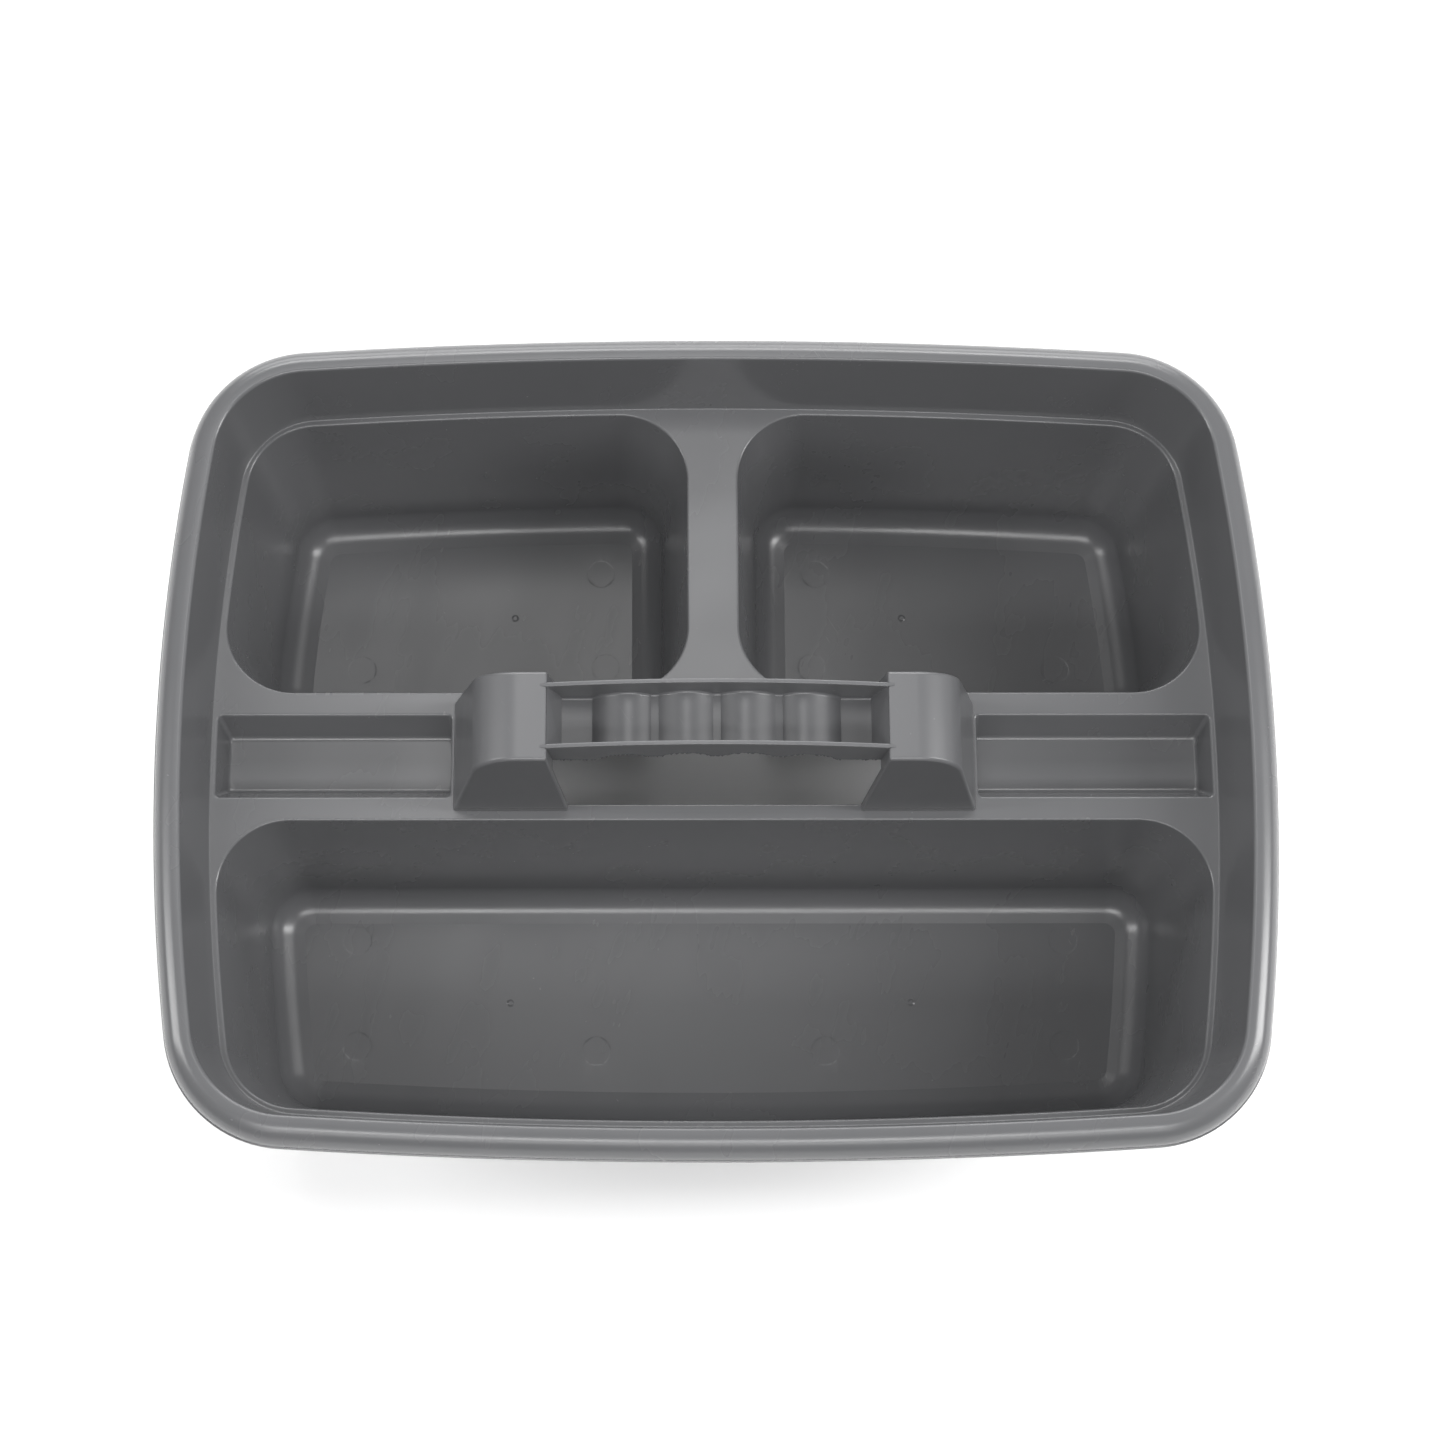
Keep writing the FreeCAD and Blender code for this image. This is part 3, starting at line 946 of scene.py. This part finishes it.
@dataclass
class ToolTrough:
    """Shallow trough beside a handle post."""

    side: str
    outward: int
    sizes: TraySizes
    start: float = 97.5 * MM
    end_gap: float = 2.1 * MM
    land: float = 8.8 * MM
    depth: float = 13.2 * MM
    side_lean: float = 5.2 * MM
    end_lean: float = 2.9 * MM
    corner_radius: float = 1.6 * MM
    edge_radius: float = 0.7 * MM
    border: float = 1.0 * MM
    side_fillet: float = 1.5 * MM
    end_fillet: float = 0.9 * MM
    fillet_steps: int = 6

    def outline(self) -> Outline:
        """The opening of the trough in the deck.

        Returns:
            The outline, from its side on the right.
        """
        half = self.sizes.spine_depth / 2 - self.land
        far = self.sizes.half_length - self.sizes.bead_width - self.sizes.step_draft - self.end_gap
        outer = Straight((self.outward * far, 0.0), (-float(self.outward), 0.0))
        inner = Straight((self.outward * self.start, 0.0), (float(self.outward), 0.0))
        rear, front = Straight((0.0, half), FRONT), Straight((0.0, -half), REAR)
        sides = (outer, rear, inner, front) if self.outward > 0 else (inner, rear, outer, front)
        return Outline(sides, self.corner_radius, corner_steps=5, side_steps=10)

    def insets(self, share: float, extra: float, fillet: float = 0.0) -> list[float]:
        """Insets of the four sides.

        Args:
            share: Share of the depth.
            extra: Further inset on all sides.
            fillet: Share of the fillet at the foot.

        Returns:
            One inset for each side of the outline.
        """
        end = self.end_lean * share + extra + self.end_fillet * fillet
        start = extra + self.end_fillet * fillet
        long = self.side_lean * share + extra + self.side_fillet * fillet
        return [end, long, start, long] if self.outward > 0 else [start, long, end, long]

    def build(self) -> bpy.types.Object:
        """Build and dress the trough.

        Returns:
            The finished piece.
        """
        outline, maker, deck, wall = self.outline(), MeshMaker(), self.sizes.deck, self.sizes.wall

        def ring(share: float, extra: float, height: float, fillet: float = 0.0) -> np.ndarray:
            """A loop at a share of the depth, as x, y, z rows."""
            radius = max(self.corner_radius - extra, 0.3 * MM)
            return at_height(outline.loop(self.insets(share, extra, fillet), radius), height)

        rings = [ring(0, -self.border, deck - wall), ring(0, -self.border, deck)]
        for extra, height in round_corner((-self.edge_radius, deck), (0.0, deck),
                                          (0.0, deck - self.edge_radius)):
            rings.append(ring((deck - height) / self.depth, extra, height))
        floor, fillet_height = deck - self.depth, self.side_fillet
        for angle in sweep(0.0, math.pi / 2, self.fillet_steps):
            height = floor + fillet_height * (1 - math.sin(angle))
            rings.append(ring((deck - height) / self.depth, 0.0, height, 1 - math.cos(angle)))
        maker.skin(rings)
        maker.plate([rings[-1][:, :2]], lambda x, y: floor)
        below = [rings[0], ring(0, -wall, deck - wall), ring(1, -wall, floor - wall)]
        maker.skin(below)
        maker.plate([below[-1][:, :2]], lambda x, y: floor - wall)
        return dress(maker.build(f"tool_trough_{self.side}"), TRAY_FINISH,
                     f"{self.side}_tool_trough")


# ---- Deck ---------------------------------------------------------------------------------------

@dataclass
class Deck:
    """Flat plate that joins the tray wall, the compartments and the troughs."""

    sizes: TraySizes
    compartments: Sequence[Compartment]
    troughs: Sequence[ToolTrough]
    well_end: float = 95.1 * MM
    well_half_depth: float = 18.6 * MM
    edge_radius: float = 0.5 * MM

    def build(self) -> bpy.types.Object:
        """Build and dress the deck.

        Returns:
            The finished piece.
        """
        size, maker = self.sizes, MeshMaker()
        top, under = size.deck, size.deck - size.wall
        edge = size.outline().loop(size.step_draft + size.foot_fillet)
        holes = [part.outline().loop(-part.border) for part in self.compartments]
        holes += [part.outline().loop([-part.border] * 4, part.corner_radius + part.border)
                  for part in self.troughs]
        ends = [Straight((self.well_end, 0.0), LEFT), Straight((0.0, self.well_half_depth), FRONT),
                Straight((-self.well_end, 0.0), RIGHT), Straight((0.0, -self.well_half_depth), REAR)]
        well = Outline(tuple(ends), 1.0 * MM, corner_steps=4, side_steps=12)
        rounding = round_corner((-self.edge_radius, top), (0.0, top), (0.0, top - self.edge_radius))
        rings = [at_height(well.loop(inset), height) for inset, height in rounding]
        rings.append(at_height(well.loop(0.0), under))
        maker.skin(rings)
        for loop in [edge] + holes:
            maker.skin([at_height(loop, top), at_height(loop, under)])
        maker.plate([edge] + holes + [rings[0][:, :2]], lambda x, y: top)
        maker.plate([edge] + holes + [rings[-1][:, :2]], lambda x, y: under)
        return dress(maker.build("deck_plate"), TRAY_FINISH, "deck")


# ---- Handle -------------------------------------------------------------------------------------

@dataclass(frozen=True)
class HandleSizes:
    """Sizes that the posts and the grip share."""

    wall: float = 2.4 * MM
    top_inner: float = 60.0 * MM
    foot_inner: float = 54.0 * MM
    foot_outer: float = 96.5 * MM
    half_depth: float = 21.0 * MM
    face_lean: float = 4.8 * MM
    outer_draft: float = 12.5
    shoulder_radius: float = 17.6 * MM
    grip_end_height: float = 16.0 * MM
    foot: float = field(default_factory=lambda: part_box("left_handle_post")[0][2])
    top: float = field(default_factory=lambda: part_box("left_handle_post")[1][2])

    @property
    def grip_bottom(self) -> float:
        """Height of the underside of the grip at its ends."""
        return self.top - self.grip_end_height

    def rise(self, height: float) -> float:
        """Share of the way up a post."""
        return (height - self.foot) / (self.top - self.foot)

    def inner_edge(self, height: float) -> float:
        """Distance from the middle to the inner face of a post at a height."""
        return self.foot_inner + (self.top_inner - self.foot_inner) * self.rise(height)

    def face(self, height: float) -> float:
        """Distance from the middle to the front or the rear face of a post at a height."""
        return self.half_depth - self.face_lean * self.rise(height)


def prism(maker: MeshMaker, profile: Sequence[Level], half_depth: Callable[[float], float],
          outward: int) -> None:
    """Closed body with a side profile and faces at plus and minus half_depth(height).

    Args:
        maker: Where the body is added.
        profile: Points as (distance outward, height), in order round the profile.
        half_depth: Half of the depth at a height.
        outward: 1 on the right, -1 on the left.
    """
    front = [(x * outward, -half_depth(z), z) for x, z in profile]
    rear = [(x * outward, half_depth(z), z) for x, z in profile]
    maker.box_between(front, rear)


@dataclass
class HandlePost:
    """Hollow post of the handle, open below and, under the grip, towards the hand."""

    side: str
    outward: int
    sizes: HandleSizes
    shoulder_steps: int = 18
    edge_radius: float = 1.3 * MM
    inner_edge_radius: float = 0.7 * MM
    groove_height: float = 2.5 * MM
    groove_width: float = 0.45 * MM
    groove_depth: float = 0.3 * MM
    tool_margin: float = 3.0 * MM
    mouth_start: float = 20.0 * MM
    past: float = 5.0 * MM

    def profile(self, wall: float) -> list[Level]:
        """Side profile, from the foot round the shoulder to the inner edge.

        Args:
            wall: How much smaller than the outside it is.

        Returns:
            Points as (distance outward, height).
        """
        size, lean = self.sizes, math.radians(self.sizes.outer_draft)
        foot = size.foot - (self.past if wall else 0.0)
        top = size.top - wall
        outer_foot = size.foot_outer - wall / math.cos(lean)
        radius = size.shoulder_radius - wall
        corner = outer_foot - (top - size.foot) * math.tan(lean)
        reach = radius * math.tan((math.pi / 2 - lean) / 2)
        centre = (corner - reach, top - radius)
        points = [(size.inner_edge(foot) + wall, foot),
                  (outer_foot - (foot - size.foot) * math.tan(lean), foot)]
        for angle in sweep(lean, math.pi / 2, self.shoulder_steps):
            points.append((centre[0] + radius * math.cos(angle), centre[1] + radius * math.sin(angle)))
        points.append((size.inner_edge(top) + wall, top))
        return points

    def tool(self, profile: Sequence[Level],
             half_depth: Callable[[float], float]) -> bpy.types.Object:
        """Body that is cut away from the post.

        Args:
            profile: Its side profile.
            half_depth: Half of its depth at a height.

        Returns:
            The tool.
        """
        maker = MeshMaker()
        prism(maker, profile, half_depth, self.outward)
        return maker.build("post_tool")

    def groove(self) -> bpy.types.Object:
        """Narrow frame that leaves a line round the foot.

        Returns:
            The tool.
        """
        size, maker = self.sizes, MeshMaker()
        low, margin = size.foot + self.groove_height, self.tool_margin
        high = low + self.groove_width
        rings = []
        for grow, height in ((-self.groove_depth, low), (margin, low), (margin, high),
                             (-self.groove_depth, high)):
            half = size.face(height) + grow
            near, far = size.inner_edge(height) - margin, size.foot_outer + margin + grow
            if grow < 0:
                near = size.inner_edge(height) - self.groove_depth * 0.1
                far = (size.foot_outer - (height - size.foot) * math.tan(math.radians(
                    size.outer_draft)) + grow)
            ring = [(near, -half), (far, -half), (far, half), (near, half)]
            rings.append(np.array([(x * self.outward, y, height) for x, y in ring]))
        maker.skin(rings, closed=True)
        return maker.build("groove_tool")

    def rounded_block(self) -> bpy.types.Object:
        """The filled post with rounded edges.

        Returns:
            The block, not yet hollow.
        """
        maker, size = MeshMaker(), self.sizes
        prism(maker, self.profile(0.0), size.face, self.outward)
        block = maker.build(f"handle_post_{self.side}")
        work = bmesh.new()
        work.from_mesh(block.data)

        def is_inner(edge: bmesh.types.BMEdge) -> bool:
            """Whether an edge lies on the face towards the hand."""
            return all(abs(abs(v.co.x) - size.inner_edge(v.co.z)) < 0.05 * MM for v in edge.verts)

        def at_foot(edge: bmesh.types.BMEdge) -> bool:
            """Whether an edge lies on the deck."""
            return all(v.co.z < size.foot + 0.01 * MM for v in edge.verts)

        def on_outline(edge: bmesh.types.BMEdge) -> bool:
            """Whether an edge goes round the front or the rear face."""
            sides = {v.co.y > 0 for v in edge.verts}
            return len(sides) == 1 and not at_foot(edge)

        outer = [e for e in work.edges if on_outline(e) and not is_inner(e)]
        bmesh.ops.bevel(work, geom=outer, offset=self.edge_radius, offset_type="OFFSET", segments=4,
                        profile=0.5, affect="EDGES", clamp_overlap=True)
        inner = [e for e in work.edges if is_inner(e) and not at_foot(e)]
        bmesh.ops.bevel(work, geom=inner, offset=self.inner_edge_radius, offset_type="OFFSET",
                        segments=3, profile=0.5, affect="EDGES", clamp_overlap=True)
        work.to_mesh(block.data)
        work.free()
        return block

    def build(self) -> bpy.types.Object:
        """Build and dress the post.

        Returns:
            The finished piece.
        """
        size, post = self.sizes, self.rounded_block()
        carve(post, self.groove(), "DIFFERENCE")
        carve(post, self.tool(self.profile(size.wall), lambda z: size.face(z) - size.wall),
              "DIFFERENCE")
        low, high = size.foot - self.past, size.grip_bottom
        reach = size.inner_edge(high) + size.wall + 0.01 * MM
        mouth = [(self.mouth_start, low), (reach, low), (reach, high), (self.mouth_start, high)]
        carve(post, self.tool(mouth, lambda z: size.face(z) - size.wall - 0.005 * MM), "DIFFERENCE")
        return dress(post, HANDLE_FINISH, f"{self.side}_handle_post")


@dataclass
class HandleGrip:
    """Open channel between the posts, with finger bumps in its floor and hollows below them."""

    sizes: HandleSizes
    half_width: float = 12.0 * MM
    wall: float = 1.6 * MM
    floor_wall: float = 2.0 * MM
    arch: float = 5.7 * MM
    end_rise: float = 0.45 * MM
    finger_count: int = 4
    finger_pitch: float = 22.0 * MM
    finger_land: float = 4.5 * MM
    finger_hollow: float = 4.2 * MM
    floor_arch: float = 4.0 * MM
    floor_step: float = 1.6 * MM
    end_lean: float = 4.0 * MM
    top_radius: float = 0.5 * MM
    floor_radius: float = 1.1 * MM
    flash: float = 0.32 * MM
    stub_length: float = 2.4 * MM
    spacing: float = 0.6 * MM
    joint_stretch: float = 10.0 * MM
    sink: float = 0.05 * MM

    def land(self, x: float) -> float:
        """Underside on the flats between the fingers."""
        reach = self.finger_count * self.finger_pitch / 2
        return (self.sizes.grip_bottom + self.floor_step
                + self.floor_arch * (1 - (x / reach) ** 2))

    def arc(self, grow: float) -> tuple[float, float]:
        """Shape of a finger arc.

        Args:
            grow: The wall by which the arc is grown.

        Returns:
            Its radius, and how far its centre is under the flats.
        """
        half_finger = (self.finger_pitch - self.finger_land) / 2
        radius = (half_finger ** 2 + self.finger_hollow ** 2) / (2 * self.finger_hollow)
        return radius + grow, radius - self.finger_hollow + grow

    def line(self, x: float, grow: float) -> float:
        """Height of the finger line at a distance from the middle.

        Args:
            x: Distance along the grip.
            grow: 0 for the underside, the wall for the upper face.

        Returns:
            The height in metres.
        """
        radius, below = self.arc(grow)
        half_finger = math.sqrt(radius ** 2 - below ** 2)
        last = (self.finger_count - 1) / 2 * self.finger_pitch + half_finger
        bottom = self.sizes.grip_bottom + grow
        if abs(x) >= last:
            start = self.land(last) + grow
            return start + (bottom - start) * min((abs(x) - last) / self.floor_step, 1.0)
        centre = (math.floor(x / self.finger_pitch) + 0.5) * self.finger_pitch
        if abs(x - centre) <= half_finger:
            share = (x - centre + half_finger) / (2 * half_finger)
            low, high = self.land(centre - half_finger), self.land(centre + half_finger)
            rise = math.sqrt(radius ** 2 - (x - centre) ** 2) - below
            return low + (high - low) * share + grow + rise
        return self.land(x) + grow

    def top(self, x: float) -> float:
        """Height of the wall tops.

        Args:
            x: Distance along the grip.

        Returns:
            The height in metres.
        """
        ends, middle = self.sizes.top + self.end_rise, self.sizes.top + self.arch
        rise, reach = middle - ends, self.sizes.top_inner
        radius = (reach ** 2 + rise ** 2) / (2 * rise)
        return middle - radius + math.sqrt(radius ** 2 - x ** 2)

    def floor(self, x: float) -> float:
        """Height of the channel floor, with the end walls up to the posts.

        Args:
            x: Distance along the grip.

        Returns:
            The height in metres.
        """
        start = self.sizes.top_inner - self.end_lean
        bottom = self.line(x, self.floor_wall)
        share = max(0.0, (abs(x) - start) / self.end_lean)
        return bottom + (self.sizes.top - bottom) * share

    def stations(self) -> list[float]:
        """Places along the grip where a cross-section is made.

        Returns:
            Distances from the middle, in order.
        """
        places = {0.0, self.sizes.top_inner, self.sizes.top_inner - self.end_lean}
        for grow in (0.0, self.floor_wall):
            radius, below = self.arc(grow)
            half_finger = math.sqrt(radius ** 2 - below ** 2)
            for finger in range(self.finger_count // 2):
                centre = (finger + 0.5) * self.finger_pitch
                places.update((centre - half_finger, centre + half_finger))
            places.add(centre + half_finger + self.floor_step)
        count = int(self.sizes.top_inner / self.spacing)
        for index in range(count):
            spot = index * self.spacing
            if all(abs(spot - place) > self.spacing / 3 for place in places):
                places.add(spot)
        ordered = sorted(places)
        return [-x for x in reversed(ordered[1:])] + ordered

    def half_section(self, x: float, sliver: float) -> list[Level]:
        """Half of the cross-section at a station.

        Args:
            x: Distance along the grip.
            sliver: How far the moulding flash stands out at the lower edge.

        Returns:
            Points as (distance from the middle plane, height), from the underside to the floor.
        """
        out, inside = self.half_width, self.half_width - self.wall
        low, high, floor = self.line(x, 0.0), self.top(x), self.floor(x)
        edge, fillet = self.top_radius, min(self.floor_radius, max(high - floor - 0.6 * MM, 0.0))
        points = [(0.0, low), (out * 0.5, low), (out - 0.6 * MM, low),
                  (out - 0.1 * MM + sliver, low - 0.5 * sliver), (out, low + 0.35 * MM)]
        points += round_corner((out, high - edge), (out, high), (out - edge, high), 3)
        drop = min(edge, max(high - floor, 0.0) * 0.8)
        points += round_corner((inside + edge, high), (inside, high), (inside, high - drop), 3)
        points += round_corner((inside, floor + fillet), (inside, floor),
                               (inside - fillet, floor), 4)
        points += [(inside * 0.5, floor), (0.0, floor)]
        return points

    def sheared(self, x: float, height: float) -> float:
        """Moves the last stretch of the grip onto the leaning face of the post.

        Args:
            x: Distance along the grip.
            height: Height of the point.

        Returns:
            The new distance along the grip.
        """
        size, stretch = self.sizes, self.joint_stretch
        start = size.top_inner - stretch
        if abs(x) <= start:
            return x
        end = size.inner_edge(min(height, size.top)) + self.sink
        return math.copysign(start + (abs(x) - start) * (end - start) / stretch, x)

    def build(self) -> bpy.types.Object:
        """Build and dress the grip.

        Returns:
            The finished piece.
        """
        maker, chance = MeshMaker(), random.Random(7)
        rings = []
        for x in self.stations():
            slivers = [self.flash * max(0.0, chance.uniform(-0.6, 1.0)) for _ in range(2)]
            right = self.half_section(x, slivers[0])
            left = self.half_section(x, slivers[1])
            ring = [(self.sheared(x, z), y, z) for y, z in right]
            ring += [(self.sheared(x, z), -y, z) for y, z in reversed(left[1:-1])]
            rings.append(np.array(ring))
        maker.skin(rings)
        for ring in (rings[0], rings[-1]):
            start = len(maker.points)
            maker.points.extend(map(tuple, ring))
            maker.faces.append(tuple(range(start, start + len(ring))))
        for end in (-1, 1):
            for hand in (-1, 1):
                self.stub(maker, end, hand)
        return dress(maker.build("handle_grip_channel"), HANDLE_FINISH, "handle_grip")

    def stub(self, maker: MeshMaker, end: int, hand: int) -> None:
        """Tapered run-out of one grip wall on the top of a post.

        Args:
            maker: The grip's mesh.
            end: 1 for the right end of the grip, -1 for the left.
            hand: 1 for the rear wall, -1 for the front.
        """
        top, near = self.sizes.top, self.sizes.top_inner - self.sink
        far, taper, tip = near + self.stub_length, 0.3 * MM, 0.1 * MM
        out, inside = self.half_width - 0.1 * MM, self.half_width - self.wall
        low, high = [], []
        for x, y, rise in ((near, out, self.end_rise), (far, out - taper, tip),
                           (far, inside + taper, tip), (near, inside, self.end_rise)):
            low.append((end * x, hand * y, top - 0.4 * MM))
            high.append((end * x, hand * (out + (y - out) * 0.8 - 0.1 * MM), top + rise))
        maker.box_between(low, high)


# ---- Studio -------------------------------------------------------------------------------------

@dataclass(frozen=True)
class Softbox:
    """A large soft lamp that is aimed at the object."""

    name: str
    place: Triple
    width: float
    length: float
    power: float
    aim: Triple = (0.0, 0.0, 0.08)

    def build(self) -> bpy.types.Object:
        """Hang the lamp.

        Returns:
            The lamp.
        """
        lamp = bpy.data.lights.new(self.name, "AREA")
        lamp.shape, lamp.size, lamp.size_y = "RECTANGLE", self.width, self.length
        lamp.energy = self.power
        hung = bpy.data.objects.new(self.name, lamp)
        hung.location = self.place
        way = Vector(self.aim) - Vector(self.place)
        hung.rotation_euler = way.to_track_quat("-Z", "Y").to_euler()
        bpy.context.scene.collection.objects.link(hung)
        return hung


@dataclass
class Studio:
    """White floor, soft lamps, bright surroundings and the camera."""

    floor_reach: float = 6.0
    surroundings: float = 0.28
    floor_tones: tuple[float, float] = (0.88, 0.90)
    lamps: tuple[Softbox, ...] = (
        Softbox("overhead_softbox", (-0.10, 0.58, 2.0), 0.64, 0.6, 4.8),
        Softbox("front_softbox", (0.0, -1.1, 1.65), 1.4, 0.35, 17.0),
        Softbox("low_front_softbox", (0.0, -1.5, 1.3), 1.6, 0.35, 7.0),
        Softbox("left_softbox", (-1.6, 0.0, 1.3), 0.35, 1.4, 18.0),
        Softbox("right_softbox", (1.6, 0.0, 1.3), 0.35, 1.4, 32.0),
        Softbox("rear_softbox", (0.0, 1.6, 1.3), 1.6, 0.35, 22.0),
        Softbox("low_rear_softbox", (0.0, 2.0, 0.6), 2.4, 0.7, 26.0),
    )
    camera_place: Triple = (-0.02234, -0.25389, 1.05801)
    yaw: float = 0.735
    pitch: float = 75.589
    roll: float = 0.669
    lens: float = 67.3
    shift: tuple[float, float] = (0.0415, 0.0322)

    def build_floor(self) -> bpy.types.Object:
        """Large plain floor just under the object.

        Returns:
            The floor.
        """
        maker, lines, height = MeshMaker(), sweep(-self.floor_reach, self.floor_reach, 4), -0.2 * MM
        for near, far in zip(lines, lines[1:]):
            for left, right in zip(lines, lines[1:]):
                start = len(maker.points)
                maker.points.extend((x, y, height) for x, y in ((left, near), (right, near),
                                                                (right, far), (left, far)))
                maker.faces.append(tuple(range(start, start + 4)))
        floor = maker.build("studio_floor")
        paint = bpy.data.materials.new("white_floor")
        paint.use_nodes = True
        sheet = NodeSheet(paint.node_tree)
        place = sheet.add("ShaderNodeTexCoord").outputs["Object"]
        tone = sheet.mix(sheet.noise(place, 3.0), *((tone,) * 3 + (1.0,) for tone in self.floor_tones))
        shader = paint.node_tree.nodes["Principled BSDF"]
        paint.node_tree.links.new(tone, shader.inputs["Base Color"])
        shader.inputs["Roughness"].default_value = 0.8
        shader.inputs["Specular IOR Level"].default_value = 0.1
        floor.data.materials.append(paint)
        return floor

    def build_surroundings(self) -> None:
        """Even white light from all round."""
        world = bpy.data.worlds.new("white_surroundings")
        world.use_nodes = True
        shader = world.node_tree.nodes["Background"]
        shader.inputs["Color"].default_value = (1.0, 1.0, 1.0, 1.0)
        shader.inputs["Strength"].default_value = self.surroundings
        bpy.context.scene.world = world

    def build_camera(self) -> bpy.types.Object:
        """Camera nearly above the object, a little to its front.

        Returns:
            The camera, set as the scene's own.
        """
        yaw, pitch, roll = (math.radians(a) for a in (self.yaw, self.pitch, self.roll))
        ahead = Vector((math.sin(yaw) * math.cos(pitch), math.cos(yaw) * math.cos(pitch),
                        -math.sin(pitch)))
        level = Vector((math.cos(yaw), -math.sin(yaw), 0.0))
        upright = level.cross(ahead)
        right = level * math.cos(roll) + upright * math.sin(roll)
        up = upright * math.cos(roll) - level * math.sin(roll)
        view = bpy.data.objects.new("camera", bpy.data.cameras.new("camera"))
        view.data.lens, view.data.sensor_width = self.lens, 36.0
        view.data.shift_x, view.data.shift_y = self.shift
        view.data.clip_start, view.data.clip_end = 0.01, 50.0
        turn = Matrix((right, up, -ahead)).transposed().to_4x4()
        view.matrix_world = Matrix.Translation(self.camera_place) @ turn
        bpy.context.scene.collection.objects.link(view)
        bpy.context.scene.camera = view
        return view

    def build(self) -> None:
        """Set up everything round the object."""
        self.build_floor()
        self.build_surroundings()
        self.build_camera()
        for lamp in self.lamps:
            lamp.build()
        bpy.context.scene.view_settings.view_transform = "Standard"


# ---- Build --------------------------------------------------------------------------------------

def compartments(sizes: TraySizes) -> list[Compartment]:
    """The three compartments.

    Args:
        sizes: Shared sizes of the tray.

    Returns:
        The front one, then the two rear ones.
    """
    ledge = sizes.step_draft + sizes.ledge_width
    right, rear, left, front = (sizes.side(way).moved_in(ledge) for way in (RIGHT, REAR, LEFT, FRONT))
    spine, divider = sizes.spine_depth / 2, sizes.divider_width / 2
    front_marks = tuple(ejector(x, y) for x, y in ((-140, -53), (140, -53), (-139, -95), (139, -95),
                                                   (-45, -97), (45, -97)))
    front_marks += (gate(-79, -78), gate(79, -78))
    made = [Compartment("front_basket", "front_compartment", sizes,
                        (right, Straight((0.0, -spine), FRONT), left, front), front_marks)]
    for name, hand, outer in (("left", -1, left), ("right", 1, right)):
        marks = tuple(ejector(hand * x, y) for x, y in ((44, 100), (141, 59), (42, 60)))
        inner = Straight((hand * divider, 0.0), (float(hand), 0.0))
        step = Straight((0.0, spine), REAR)
        sides = (outer, rear, inner, step) if hand > 0 else (inner, rear, outer, step)
        made.append(Compartment(f"rear_{name}_basket", f"rear_{name}_compartment", sizes, sides,
                                marks + (gate(hand * 79, 81),)))
    return made


def main() -> None:
    """Build every sub-assembly in order and report each piece."""
    logging.basicConfig(level=logging.INFO, format="%(name)s: %(message)s")
    sizes, handle = TraySizes(), HandleSizes()
    baskets = compartments(sizes)
    troughs = [ToolTrough("left", -1, sizes), ToolTrough("right", 1, sizes)]
    parts = [Rim(sizes), TrayWall(sizes), Deck(sizes, baskets, troughs), *baskets, *troughs,
             HandlePost("left", -1, handle), HandlePost("right", 1, handle), HandleGrip(handle)]
    for part in parts:
        piece = part.build()
        LOG.info("%s: %d faces", piece.name, len(piece.data.polygons))
    Studio().build()


if __name__ == "__main__":
    main()
